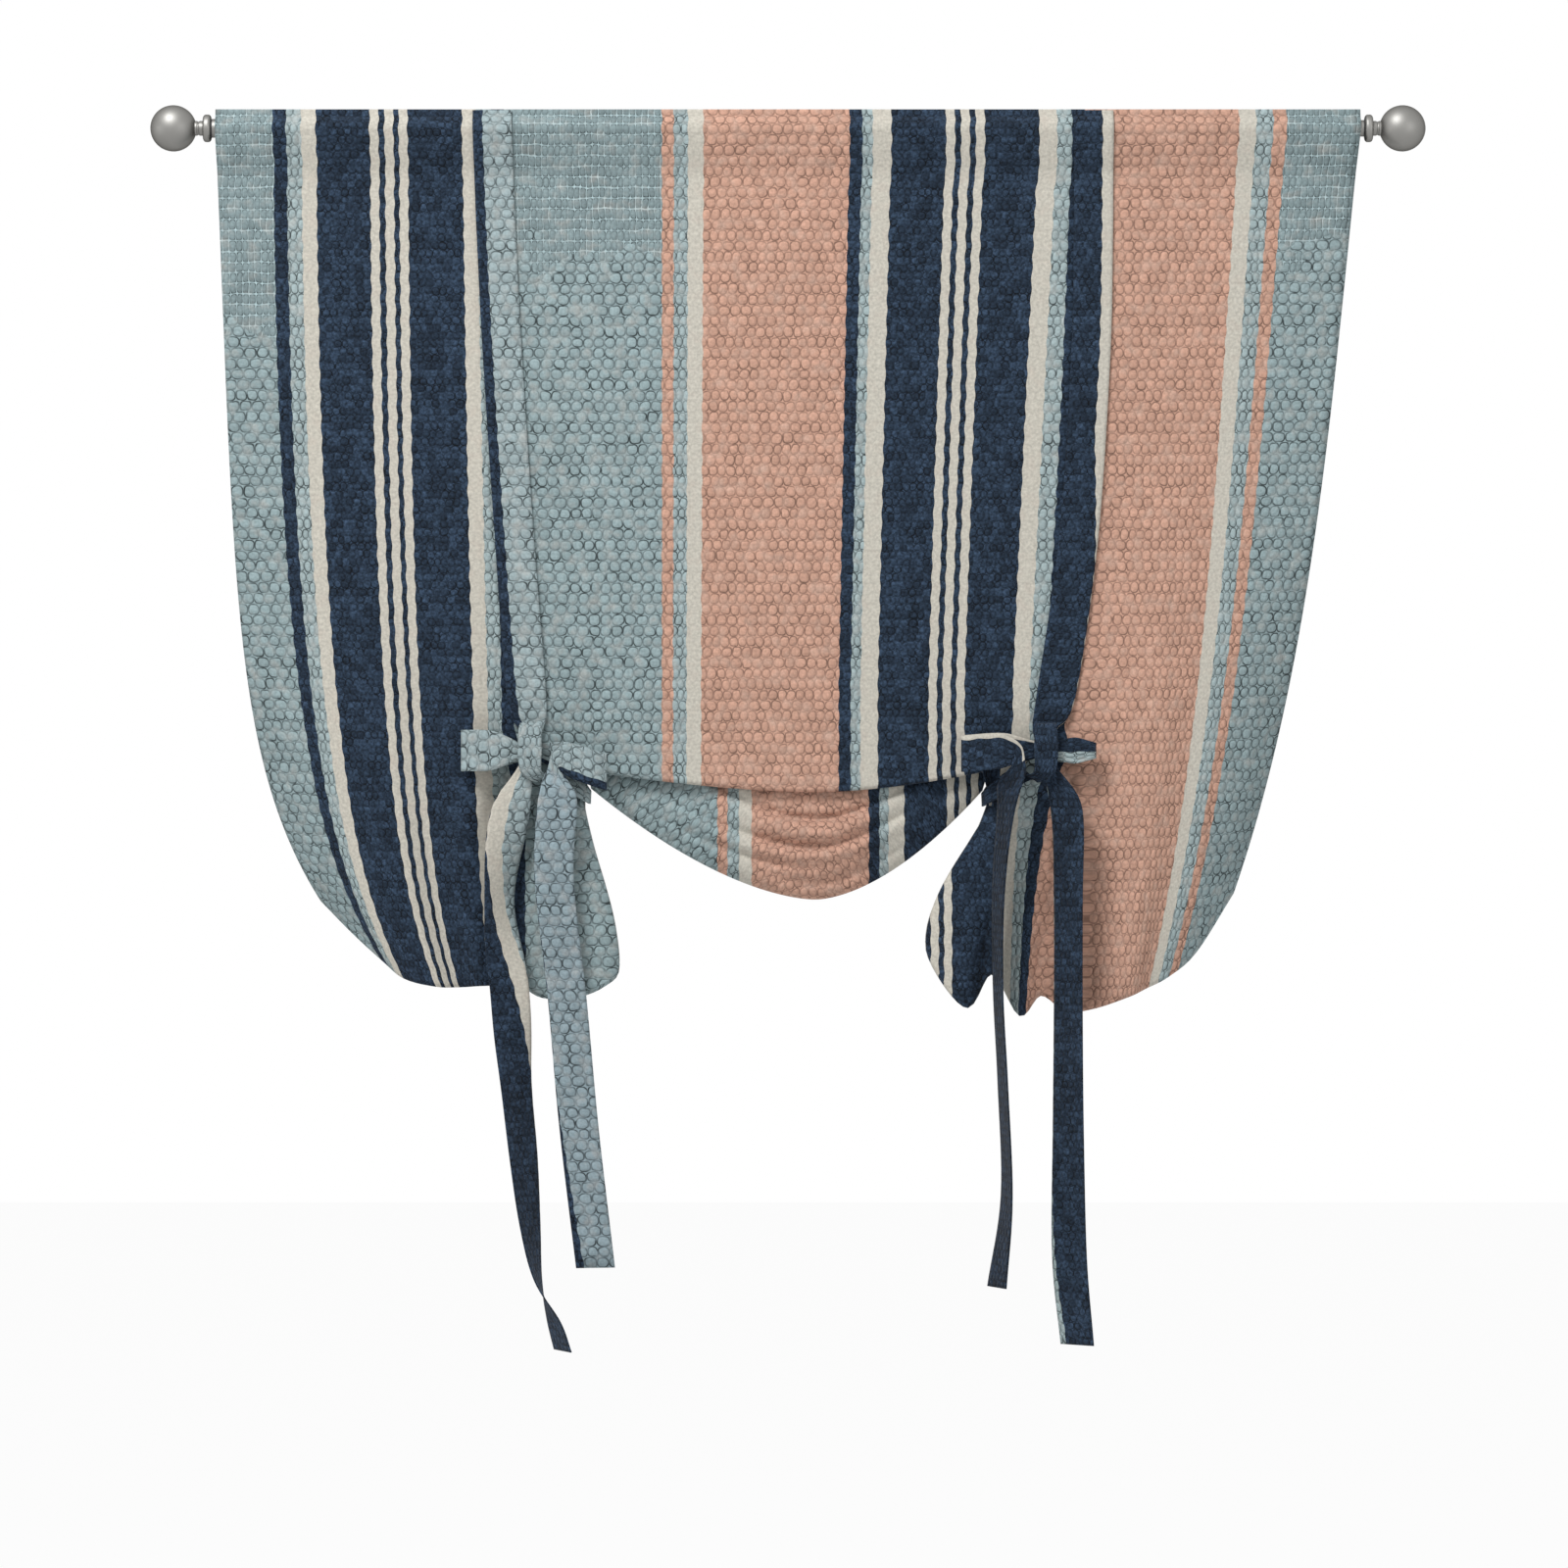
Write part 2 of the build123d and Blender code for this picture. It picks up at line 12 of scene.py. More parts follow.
import bmesh
import bpy
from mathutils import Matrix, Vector


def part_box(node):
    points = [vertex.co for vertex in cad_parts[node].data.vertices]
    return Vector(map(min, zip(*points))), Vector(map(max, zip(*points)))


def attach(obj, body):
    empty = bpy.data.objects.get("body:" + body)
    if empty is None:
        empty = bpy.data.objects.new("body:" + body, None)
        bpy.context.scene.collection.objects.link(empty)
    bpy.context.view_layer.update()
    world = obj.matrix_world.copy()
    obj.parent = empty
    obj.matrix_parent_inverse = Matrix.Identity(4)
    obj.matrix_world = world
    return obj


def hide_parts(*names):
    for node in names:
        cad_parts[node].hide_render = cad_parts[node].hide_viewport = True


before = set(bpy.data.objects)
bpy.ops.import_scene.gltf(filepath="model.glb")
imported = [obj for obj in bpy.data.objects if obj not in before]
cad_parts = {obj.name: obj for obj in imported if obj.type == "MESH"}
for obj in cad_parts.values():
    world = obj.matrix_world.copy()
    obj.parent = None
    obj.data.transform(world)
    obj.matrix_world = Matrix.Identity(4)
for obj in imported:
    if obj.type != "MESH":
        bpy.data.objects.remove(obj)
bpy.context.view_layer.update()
HUNG = "hung_curtain"
MM = 0.001
print("nodes:", sorted(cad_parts))

# %% [markdown]
# ## Sizes
# The panel keeps the sizes of its solid, so it hangs where the solid does. Width, drop and rod come
# from the frame, and the folds are shares of them. Everything is in millimetres until the very end,
# when a point goes into a mesh.

# %% Sizes of the panel and the rod
panel_low, panel_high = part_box("curtain_panel")
_, rod_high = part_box("rod_outer_tube")
cloth_thickness = 1.2
panel_width = round((panel_high[0] - panel_low[0]) / MM)
half_width = panel_width / 2
tail_drop = round(-panel_low[2] / MM - cloth_thickness / 2)
rod_radius = rod_high[2] / MM
tie_offset = 262.0
knot_drop = 635.0
print("panel", panel_width, "mm wide,", tail_drop, "mm to the lowest tail")

# %% [markdown]
# ## Where the cloth's lines end
# Picture the sheet as lines that run down it. A table says, for each line, where it meets its lowest
# fold: its place across the cloth, then shares of the half width, of the tail drop, and of the fold
# depth. Near the bows the lines crowd together, which is what makes the pleats.

# %% The hem tables
left_hem_shares = [
    (0.000, -0.820, 0.873, 2.2),
    (0.025, -0.764, 0.908, 1.2),
    (0.050, -0.711, 0.938, 0.4),
    (0.087, -0.671, 0.958, -0.4),
    (0.135, -0.613, 0.967, -0.9),
    (0.168, -0.574, 0.968, -0.2),
    (0.215, -0.526, 0.966, -0.8),
    (0.248, -0.469, 0.967, 0.1),
    (0.272, -0.430, 0.980, -0.1),
    (0.292, -0.372, 0.980, -0.5),
    (0.304, -0.318, 0.966, -0.6),
    (0.310, -0.295, 0.944, 0.0),
    (0.314, -0.320, 0.890, 0.6),
    (0.318, -0.351, 0.815, 0.5),
    (0.322, -0.356, 0.738, 0.0),
]
right_hem_shares = [
    (0.676, 0.356, 0.764, 0.0),
    (0.682, 0.338, 0.815, 0.5),
    (0.688, 0.285, 0.885, 0.6),
    (0.695, 0.241, 0.918, 0.0),
    (0.702, 0.268, 0.962, -0.6),
    (0.709, 0.314, 0.991, -0.8),
    (0.719, 0.356, 0.954, 0.2),
    (0.733, 0.404, 1.000, -0.7),
    (0.747, 0.442, 0.978, 0.2),
    (0.762, 0.481, 0.994, -0.3),
    (0.784, 0.524, 0.994, -0.1),
    (0.843, 0.592, 0.979, -1.0),
    (0.894, 0.627, 0.969, -0.3),
    (0.924, 0.664, 0.957, 0.0),
    (0.960, 0.715, 0.930, 0.9),
    (1.000, 0.783, 0.864, 2.2),
]
swag_start = left_hem_shares[-1][0]
swag_end = right_hem_shares[0][0]
print("tables:", len(left_hem_shares), "lines on the left,", len(right_hem_shares), "on the right")

# %% [markdown]
# ## Smooth curves through a table
# A table has few rows, and cloth has no corners. A value between two rows is therefore read from a
# cubic curve that passes through every row, with a slope that its neighbours give it.

# %% Curves
def ease(share):
    """Smooth step from 0 to 1."""
    share = min(1.0, max(0.0, share))
    return share * share * (3 - 2 * share)


def blend(first, second, share):
    return first + (second - first) * share


def table_row(table, across):
    """A row of a table at any place, on a smooth curve through its rows."""
    last = len(table) - 2
    index = 0
    while index < last and across > table[index + 1][0]:
        index += 1
    before = table[max(index - 1, 0)]
    here = table[index]
    there = table[index + 1]
    after = table[min(index + 2, len(table) - 1)]
    span = there[0] - here[0]
    share = (across - here[0]) / span
    square = share * share
    cube = square * share
    values = []
    for column in range(1, len(here)):
        slope_here = (there[column] - before[column]) / max(there[0] - before[0], span) * span
        slope_there = (after[column] - here[column]) / max(after[0] - here[0], span) * span
        values.append(
            here[column] * (2 * cube - 3 * square + 1)
            + slope_here * (cube - 2 * square + share)
            + there[column] * (3 * square - 2 * cube)
            + slope_there * (cube - square)
        )
    return values


def smoothed(points, steps):
    """More points on a smooth curve through a few."""
    table = [(index, *point) for index, point in enumerate(points)]
    count = (len(points) - 1) * steps
    return [tuple(table_row(table, index / steps)) for index in range(count + 1)]


print("halfway along the left table:", [round(v, 3) for v in table_row(left_hem_shares, swag_start / 2)])

# %% [markdown]
# ## The rod pocket
# The top of the sheet goes round the rod and is sewn to itself below it. Above the rod the fold
# stands up as a narrow heading. Seen from the end, that is an outline of a few corners, made smooth.

# %% Folds and the pocket
pocket_clearance = 0.3
pocket_radius = rod_radius + pocket_clearance + cloth_thickness / 2
heading_rise = 19.0
heading_half_gap = 1.6
pocket_seam_drop = 45.0
seam_gap = 0.3
pocket_side_shares = [(0.24, 0.80), (0.66, 0.45), (0.93, 0.14), (1.0, 0.0)]
pocket_crown_shares = [(0.80, 0.60), (0.33, 1.10)]
pocket_steps = 3
turn_steps = 8


def turn(near, far, level, direction):
    """Depth and height of a round fold from one layer to the next."""
    radius = (far - near) / 2
    middle = (far + near) / 2
    points = []
    for index in range(turn_steps + 1):
        angle = math.pi * index / turn_steps
        points.append((middle - radius * math.cos(angle), level + direction * radius * math.sin(angle)))
    return points


def run(start, end, steps):
    """Points from one end to the other, both included."""
    return [
        (blend(start[0], end[0], i / steps), blend(start[1], end[1], i / steps))
        for i in range(steps + 1)
    ]


def pocket_corners():
    """Depth and height of the pocket: up its back, over the heading and down its front."""
    tip = heading_rise - heading_half_gap
    back = [(cloth_thickness + seam_gap, -pocket_seam_drop)]
    for reach, drop in pocket_side_shares:
        back.append((pocket_radius * reach, -pocket_seam_drop * drop))
    for reach, rise in pocket_crown_shares:
        back.append((pocket_radius * reach, pocket_radius * rise))
    back.append((heading_half_gap, tip))
    front = [(-depth, height) for depth, height in reversed(back)]
    front[-1] = (0.0, -pocket_seam_drop)
    crown = [(-depth, height) for depth, height in turn(-heading_half_gap, heading_half_gap, tip, 1)]
    return [back, crown, front]


def pocket_path():
    """The pocket's outline on smooth curves."""
    back, crown, front = pocket_corners()
    return [smoothed(back, pocket_steps), crown, smoothed(front, pocket_steps)]


print("pocket:", sum(len(span) for span in pocket_path()), "points round the rod")

# %% [markdown]
# ## How one line of the cloth hangs
# Each line starts at the pocket seam, goes up behind the rod, over the heading and down the front.
# On the tails the lines sway inwards, and below each bow they fan out into a flare. The swag hangs
# between the bows, lowest a little to the right of its middle.

# %% Sideways and depth of a line
fold_depth = 18.0
layer_gap = 9.0
swag_fold_drop = 655.0
swag_fold_sag = 22.0
left_sway_share = 0.30
right_sway_share = 0.62
left_sway_power = 6.5
right_sway_power = 4.0
swag_low_share = 0.57
swag_left_power = 1.65
swag_right_power = 1.7
side_start_share = 0.28
flare_start_share = 0.70
tail_inner_share = 0.215
tie_blend_share = 0.05


def swag_share(across):
    """How far down the swag hangs at a place across the cloth, from 0 at the ties to 1."""
    place = (across - swag_start) / (swag_end - swag_start)
    if place < swag_low_share:
        return 1 - (1 - place / swag_low_share) ** swag_left_power
    return 1 - (1 - (1 - place) / (1 - swag_low_share)) ** swag_right_power


def in_swag(across):
    return swag_start < across < swag_end


def edge_at(across):
    """Sideways place, drop and depth where a line of the cloth reaches its lowest fold."""
    if in_swag(across):
        drop = swag_fold_drop + swag_fold_sag * swag_share(across)
        return blend(-half_width, half_width, across), drop, 0.0
    table = left_hem_shares if across <= swag_start else right_hem_shares
    side, drop, depth = table_row(table, across)
    return side * half_width, drop * tail_drop, depth * fold_depth


def near_tie(across):
    """1 where the cloth goes through a tie and fans out below it, 0 out on the tails."""
    if across < swag_low_share:
        return ease((across - tail_inner_share) / tie_blend_share)
    return ease((1 - tail_inner_share - across) / tie_blend_share)


def fan_share(drop, height):
    """How far a line of the cloth has fanned out below its tie, from 0 to 1."""
    start = flare_start_share * tail_drop
    return ease((-height - start) / max(drop - start, layer_gap))


def sideways(across, height):
    """Where a line of the cloth lies from left to right at a height."""
    top = blend(-half_width, half_width, across)
    edge, drop, _ = edge_at(across)
    fall = min(1.0, max(0.0, -height / drop))
    left = across < swag_low_share
    linear = left_sway_share if left else right_sway_share
    power = left_sway_power if left else right_sway_power
    swayed = blend(top, edge, linear * fall + (1 - linear) * fall ** power)
    return blend(swayed, blend(top, edge, fan_share(drop, height)), near_tie(across))


def billow(across, height):
    """How far a line of the cloth stands towards the wall at a height."""
    _, drop, depth = edge_at(across)
    start = side_start_share * tail_drop
    side = ease((-height - start) / (drop - start))
    return depth * blend(side, fan_share(drop, height), near_tie(across))


print("the left edge ends", round(-edge_at(0.0)[0]), "mm from the middle")

# %% [markdown]
# ## Folds of the tails and the swag
# At its lowest point a line folds under and runs up behind. In the middle it folds twice more, so the
# swag shows the printed side again, bulges forwards and sags in smile-shaped creases. Both kinds of
# line have the same number of points, so they blend into each other and make one grid.

# %% Layers of a line
swag_layer_count = 4
hem_drop = 630.0
swag_overlap = 56.0
swag_apex_drop = 668.0
swag_sag = 119.0
swag_blend_share = 0.012
swag_bulge_share = 1.4
swag_bulge_power = 1.6
front_steps = 58
layer_steps = 10
fall_steps = 56
smile_depth = 9.5
hollow_share = 0.032
ridge_share = 0.085
# Each crease: where it is down the swag, its depth, its middle, its curve and its reach.
smile_shares = [
    (0.51, 1.0, 0.57, 3.4, 0.27),
    (0.68, 0.9, 0.53, 1.4, 0.27),
    (0.82, 0.7, 0.42, 0.6, 0.20),
    (0.92, 0.4, 0.58, 0.6, 0.20),
]


def plain_layers(drop, hem):
    """The cloth of a tail: a fold at its lowest point, then one layer up to the hem."""
    first = turn(0.0, layer_gap, -drop + layer_gap / 2, -1)
    spans = [first]
    span_steps = (layer_steps, turn_steps, fall_steps, turn_steps, layer_steps)
    for index, steps in enumerate(span_steps):
        low = blend(first[-1][1], hem, index / len(span_steps))
        high = blend(first[-1][1], hem, (index + 1) / len(span_steps))
        spans.append(run((layer_gap, low), (layer_gap, high), steps))
    return spans


def swag_bulge(share):
    """How far the swag bulges forwards at a share of its fall, most of all in its lower half."""
    return math.sin(math.pi * share ** swag_bulge_power)


def smile_crease(across, share):
    """Smile-shaped creases on the swag: a sharp hollow with a round ridge under it."""
    place = (across - swag_start) / (swag_end - swag_start)
    rise = 0.0
    for row, depth, middle, curve, reach in smile_shares:
        aside = place - middle
        below = share - row + curve * aside * aside
        hollow = math.exp(-(below / hollow_share) ** 2)
        ridge = math.exp(-((below - ridge_share) / ridge_share) ** 2)
        rise += depth * math.exp(-(aside / reach) ** 2) * (ridge - hollow)
    return smile_depth * swag_share(across) * rise


def swag_layers(across, drop, hem):
    """The cloth of the swag: folded up behind the front, down to the swag, and up to the hem."""
    hang = swag_share(across)
    layers = [index * layer_gap for index in range(swag_layer_count)]
    top = -drop + swag_overlap * hang
    low = -(swag_apex_drop + swag_sag * hang)
    first = turn(layers[0], layers[1], -drop + layer_gap / 2, -1)
    second = turn(layers[1], layers[2], top - layer_gap / 2, 1)
    third = turn(layers[2], layers[3], low + layer_gap / 2, -1)
    fall = run(second[-1], third[0], fall_steps)
    bulge = layer_gap * swag_bulge_share * hang
    fall = [
        (y - bulge * swag_bulge(i / fall_steps) - smile_crease(across, i / fall_steps), z)
        for i, (y, z) in enumerate(fall)
    ]
    rise = run(first[-1], second[0], layer_steps)
    back = run(third[-1], (layers[3], hem), layer_steps)
    return [first, rise, second, fall, third, back]


def cloth_line(across):
    """Spans of points down one line, from the pocket seam over the rod to the hidden hem."""
    _, drop, _ = edge_at(across)
    hem = -min(hem_drop, drop - layer_gap)
    layers = plain_layers(drop, hem)
    if in_swag(across):
        edge_share = min(across - swag_start, swag_end - across) / (swag_end - swag_start)
        share = ease(edge_share / swag_blend_share)
        layers = [
            [(blend(a[0], b[0], share), blend(a[1], b[1], share)) for a, b in zip(plain, gathered)]
            for plain, gathered in zip(layers, swag_layers(across, drop, hem))
        ]
    front = run((0.0, -pocket_seam_drop), layers[0][0], front_steps)
    spans = [[Vector((sideways(across, z), y, z)) for y, z in span] for span in pocket_path()]
    for span in [front] + layers:
        spans.append([Vector((sideways(across, z), y + billow(across, z), z)) for y, z in span])
    return spans


print("a line down the middle has", sum(len(span) for span in cloth_line(0.5)), "points")

# %% [markdown]
# ## Where the print lies on the cloth
# The stripes follow the cloth's own threads, so each point gets a UV: its place across the flat
# cloth and how far down the cloth it is, both in metres. Gathering pulls the threads a little
# sideways, most of all in the swag, and a table of small shifts says by how much.

# %% Print shifts, as shares of the panel's width
front_shift_shares = [
    (0.00, 0.000),
    (0.18, 0.000),
    (0.215, -0.004),
    (0.245, -0.0075),
    (0.30, -0.007),
    (0.39, 0.000),
    (0.555, 0.0103),
    (0.66, 0.018),
    (0.725, 0.023),
    (0.785, 0.000),
    (1.00, 0.000),
]
swag_shift_shares = [
    (0.322, -0.0650),
    (0.438, -0.0485),
    (0.468, -0.0420),
    (0.572, -0.0165),
    (0.603, -0.0110),
    (0.640, -0.0010),
    (0.676, 0.0070),
]
left_hump_share = 0.0055
left_hump_end_share = 0.24
left_hump_drop = 620.0
drift_drop = 570.0
flare_top = 600.0
flare_blend = 70.0
left_flare_shift = -21.0
right_flare_fold = 217.5
right_flare_place = 842.0
right_flare_gains = (1.14, 0.94)
right_flare_squeeze_share = 0.0045
squeeze_top = 699.0
# The spans of a line: three round the pocket, the front, the fold under it, the rise behind, and on.
FRONT_SPAN = 3
RISE_SPAN = 5


def print_place(across, span, share, height):
    """Where a point of a line lies on the flat cloth, in millimetres from its left edge."""
    if span < FRONT_SPAN:
        return across * panel_width
    drift = table_row(front_shift_shares, across)[0] * min(1.0, -height / drift_drop)
    hump = math.sin(math.pi * min(1.0, -height / left_hump_drop))
    drift += left_hump_share * hump * max(0.0, 1 - across / left_hump_end_share)
    if span >= RISE_SPAN and in_swag(across):
        swag_shift = table_row(swag_shift_shares, across)[0]
        drift = blend(drift, swag_shift, share if span == RISE_SPAN else 1.0)
    return (across + drift) * panel_width


def flare_print(point):
    """Where a point of a flare lies on the flat cloth, taken straight from its place."""
    if point.x < 0:
        return point.x + half_width + left_flare_shift
    aside = point.x - right_flare_fold
    gain = right_flare_gains[0]
    if aside > 0:
        gain = right_flare_gains[1] + right_flare_squeeze_share * (-point.z - squeeze_top)
    return right_flare_place + gain * aside


print("print at the swag's middle:", round(print_place(0.5, RISE_SPAN + 2, 0.5, -hem_drop)))

# %% [markdown]
# ## The panel's columns
# The lines are closer together where the cloth is gathered, and creases run out from the knots. On
# the flares the folds are too tight to follow, so there the print is read from a point's own place.

# %% Columns of the panel
across_steps = 5
swag_across_steps = 62
crease_depth = 5.0
crease_reach = 75.0
crease_rays = 9
knot_places = [(-tie_offset, -knot_drop), (tie_offset, -knot_drop)]


def across_places():
    """Places across the cloth: close together at the tails, even along the swag."""
    places = []
    for table in (left_hem_shares, right_hem_shares):
        for here, there in zip(table, table[1:]):
            places += [blend(here[0], there[0], i / across_steps) for i in range(across_steps)]
        places.append(table[-1][0])
    places += [blend(swag_start, swag_end, i / swag_across_steps) for i in range(1, swag_across_steps)]
    return sorted(places)


def gather_crease(point):
    """Creases that run out from a knot. They only go back, so the straps stay clear."""
    depth = 0.0
    for x, z in knot_places:
        side = point.x - x
        rise = point.z - z
        distance = math.hypot(side, rise)
        ray = 0.5 + 0.5 * math.cos(crease_rays * math.atan2(rise, side))
        depth += crease_depth * ray * math.exp(-distance / crease_reach) * ease(distance / crease_reach)
    return depth


def flare_share(across, height):
    """1 on the flares below the bows, 0 on the rest of the cloth."""
    if in_swag(across):
        return 0.0
    return near_tie(across) * ease((-height - flare_top) / flare_blend)


def panel_column(across):
    """Points of one line with their UVs, all spans in one list."""
    column = []
    length = 0.0
    last = None
    _, drop, _ = edge_at(across)
    seam_length = 0.0
    for number, span in enumerate(cloth_line(across)):
        if number == FRONT_SPAN:
            seam_length = length
        for index, point in enumerate(span):
            if number and index == 0:
                continue
            moved = point.copy()
            if number == FRONT_SPAN:
                moved.y += gather_crease(point)
            if last is not None:
                length += (moved - last).length
            last = moved
            place = print_place(across, number, index / (len(span) - 1), point.z)
            down = length
            if number >= FRONT_SPAN:
                share = flare_share(across, point.z)
                fall = -point.z if number == FRONT_SPAN else 2 * drop + point.z
                place = blend(place, flare_print(point), share)
                down = blend(length, seam_length + fall - pocket_seam_drop, share)
            column.append((moved, (place, down)))
    return column


print("columns:", len(across_places()))

# %% [markdown]
# ## The panel
# One grid becomes the whole sheet. Its columns are the lines above, and its rows are the points down
# a line. A Solidify modifier gives it the cloth's thickness, and its second material is the paler
# back of the print.

# %% Build the panel
sheet_thickness = 1.0


def grid_piece(name, columns):
    """A mesh object from columns of points with UVs, made from one bmesh grid."""
    wide = len(columns) - 1
    tall = len(columns[0]) - 1
    grid = bmesh.new()
    bmesh.ops.create_grid(grid, x_segments=wide, y_segments=tall, size=1.0)
    layer = grid.loops.layers.uv.new("cloth")
    uv_of = {}
    for vertex in grid.verts:
        i = round((vertex.co.x + 1) / 2 * wide)
        j = tall - round((vertex.co.y + 1) / 2 * tall)
        point, uv = columns[i][j]
        vertex.co = point * MM
        uv_of[vertex.index] = (uv[0] * MM, uv[1] * MM)
    for face in grid.faces:
        face.smooth = True
        for loop in face.loops:
            loop[layer].uv = uv_of[loop.vert.index]
    mesh = bpy.data.meshes.new(name)
    grid.to_mesh(mesh)
    grid.free()
    piece = bpy.data.objects.new(name, mesh)
    bpy.context.scene.collection.objects.link(piece)
    return piece


def thicken(piece, thickness, back_offset):
    """Give a sheet its thickness, with the back in another material."""
    solid = piece.modifiers.new("thickness", "SOLIDIFY")
    solid.thickness = thickness * MM
    solid.offset = 0.0
    solid.material_offset = back_offset
    solid.material_offset_rim = 0


panel = grid_piece("striped_panel", [panel_column(across) for across in across_places()])
thicken(panel, sheet_thickness, 1)
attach(panel, HUNG)
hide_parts("curtain_panel")
print("panel:", len(panel.data.polygons), "faces")

# %% [markdown]
# ## The straps and their bows
# Each tie is two straps. The front one comes straight down, makes the outer loop and ends in the
# outer tail. The back one comes down behind, passes under the end of the swag, wraps over the knot,
# makes the inner loop and ends in the inner tail. A strap is a list of stations along its middle:
# sideways, depth and height from the knot, its width there, and how it is turned. The tables give
# them as shares of the bow's reach, depth and height and of the strap's width, and in degrees.

# %% Bow tables
outer_bow_shares = [
    (0.00, -0.20, 0.55, 0.62, 0.0),
    (-0.05, -0.30, 0.08, 0.38, -40.0),
    (-0.22, -0.36, -0.05, 0.50, -82.0),
    (-0.60, -0.48, 0.00, 0.95, -90.0),
    (-0.94, -0.64, 0.00, 1.05, -90.0),
    (-1.00, -0.82, 0.00, 1.06, -90.0),
    (-0.92, -1.00, 0.00, 1.05, -90.0),
    (-0.55, -1.06, 0.00, 1.00, -90.0),
    (-0.20, -0.95, -0.03, 0.50, -98.0),
    (-0.07, -0.84, -0.22, 0.40, -140.0),
]
sling_shares = [
    (0.02, 0.36, 0.51, 0.90, 0.0),
    (0.07, 0.62, 0.14, 0.50, 30.0),
    (0.30, 0.80, -0.14, 0.42, 46.0),
    (0.66, 0.98, -0.44, 0.36, 56.0),
    (0.92, 0.94, -0.72, 0.32, 80.0),
    (0.95, 0.10, -0.76, 0.32, 90.0),
    (0.88, -0.40, -0.70, 0.36, 76.0),
    (0.58, -0.50, -0.48, 0.46, 58.0),
    (0.30, -0.56, -0.34, 0.46, 48.0),
]
wrap_shares = [
    (0.34, -0.92, -0.70, 0.40, 30.0),
    (0.06, -1.26, -0.58, 0.50, 6.0),
    (0.00, -1.36, -0.30, 0.58, 0.0),
    (0.00, -1.40, 0.15, 0.60, 0.0),
    (0.00, -1.22, 0.58, 0.56, 0.0),
    (0.00, -0.86, 0.68, 0.48, 0.0),
    (0.02, -0.62, 0.42, 0.42, 15.0),
    (0.08, -0.58, 0.10, 0.38, 55.0),
]
inner_bow_shares = [
    (0.18, -0.62, 0.02, 0.50, 86.0),
    (0.50, -0.66, 0.02, 0.85, 90.0),
    (0.93, -0.74, -0.06, 0.92, 90.0),
    (1.00, -0.92, -0.08, 0.92, 90.0),
    (0.90, -1.10, -0.08, 0.92, 90.0),
    (0.55, -1.16, -0.02, 0.88, 90.0),
    (0.36, -1.12, -0.10, 0.60, 108.0),
    (0.37, -1.14, -0.42, 0.62, 145.0),
]
print("bow tables:", len(outer_bow_shares + sling_shares + wrap_shares + inner_bow_shares), "rows")

# %% [markdown]
# ## The tails of the bows
# A tail hangs free and twists as it falls. A row of its table is a share of the strap's width to the
# side, a share of the tail's length down, and how far the strap is turned there, in degrees.

# %% Tail tables
outer_tail_depth_share = 1.05
inner_tail_depth_share = 1.40
left_outer_tail_shares = [
    (-0.50, 0.10, 10.0),
    (-0.78, 0.25, 45.0),
    (-0.52, 0.40, 8.0),
    (-0.37, 0.545, 40.0),
    (-0.17, 0.675, 48.0),
    (0.00, 0.79, 62.0),
    (0.20, 0.88, 82.0),
    (0.60, 0.95, 112.0),
    (0.83, 1.00, 118.0),
]
left_inner_tail_shares = [
    (0.70, 0.10, 0.0),
    (0.62, 0.25, 10.0),
    (0.95, 0.48, 14.0),
    (1.25, 0.73, 8.0),
    (1.67, 1.00, 12.0),
]
right_outer_tail_shares = [
    (-0.53, 0.10, 40.0),
    (-0.57, 0.26, 47.0),
    (-0.57, 0.44, 47.0),
    (-0.57, 0.64, 42.0),
    (-0.60, 0.85, 32.0),
    (-0.80, 1.00, 36.0),
]
right_inner_tail_shares = [
    (0.98, 0.09, 62.0),
    (1.20, 0.25, 74.0),
    (1.22, 0.44, 78.0),
    (1.10, 0.62, 78.0),
    (1.00, 0.83, 76.0),
    (1.25, 1.00, 64.0),
]
print("tail tables:", len(left_outer_tail_shares + left_inner_tail_shares), "rows on the left")

# %% [markdown]
# ## Stations along a strap
# The top end of a strap lies over the pocket, and from its seam the strap leans in towards the knot.
# A lean is where the strap starts, from the panel's middle, and the power by which it comes in. Below
# that, the tables are scaled to this curtain's four straps.

# %% Stations of the straps
strap_width = 40.0
strap_thickness = 1.2
strap_gap = 0.8
solid_strap_thickness = 1.6
left_lean = (301.5, 1.4)
right_lean = (312.0, 2.9)
bow_depth = 24.0
front_strap_slack = 1.8
back_strap_slack = 3.5
seam_stitch_drop = 4.0
strap_stand = (cloth_thickness + solid_strap_thickness) / 2 + strap_gap
strap_hang = knot_drop - pocket_seam_drop - seam_stitch_drop
strap_rise = knot_drop + heading_rise
hang_shares = [0.01, 0.04, 0.12, 0.35, 0.7, 1.0]
front_gather_share = 1.4
back_gather_share = 2.2
outer_tail_tilt = -180.0
inner_tail_tilt = 180.0


def bow_stations(shares, reach, height, slope=0.0, taper=0.0):
    """Stations of a bow. It droops by its slope and narrows by its taper away from the knot."""
    stations = []
    for side, depth, rise, width, tilt in shares:
        drop = slope * side * reach
        wide = width * strap_width * (1 - taper * abs(side))
        stations.append((side * reach, depth * bow_depth, rise * height - drop, wide, tilt, 0.0))
    return stations


def tail_stations(shares, depth_share, length, tilt):
    """Stations of a hanging end from shares of the strap's width and of its length."""
    return [
        (side * strap_width, -depth_share * bow_depth, -drop * length, strap_width, tilt, yaw)
        for side, drop, yaw in shares
    ]


def hanging_station(depth, rise, lean):
    """A station of the stretch from the heading, which leans in towards the knot."""
    top_offset, power = lean
    fall = max(0.0, 1 - rise / strap_rise)
    side = (tie_offset - top_offset) * (1 - fall ** power)
    return (side, depth, rise, strap_width, 0.0, 0.0)


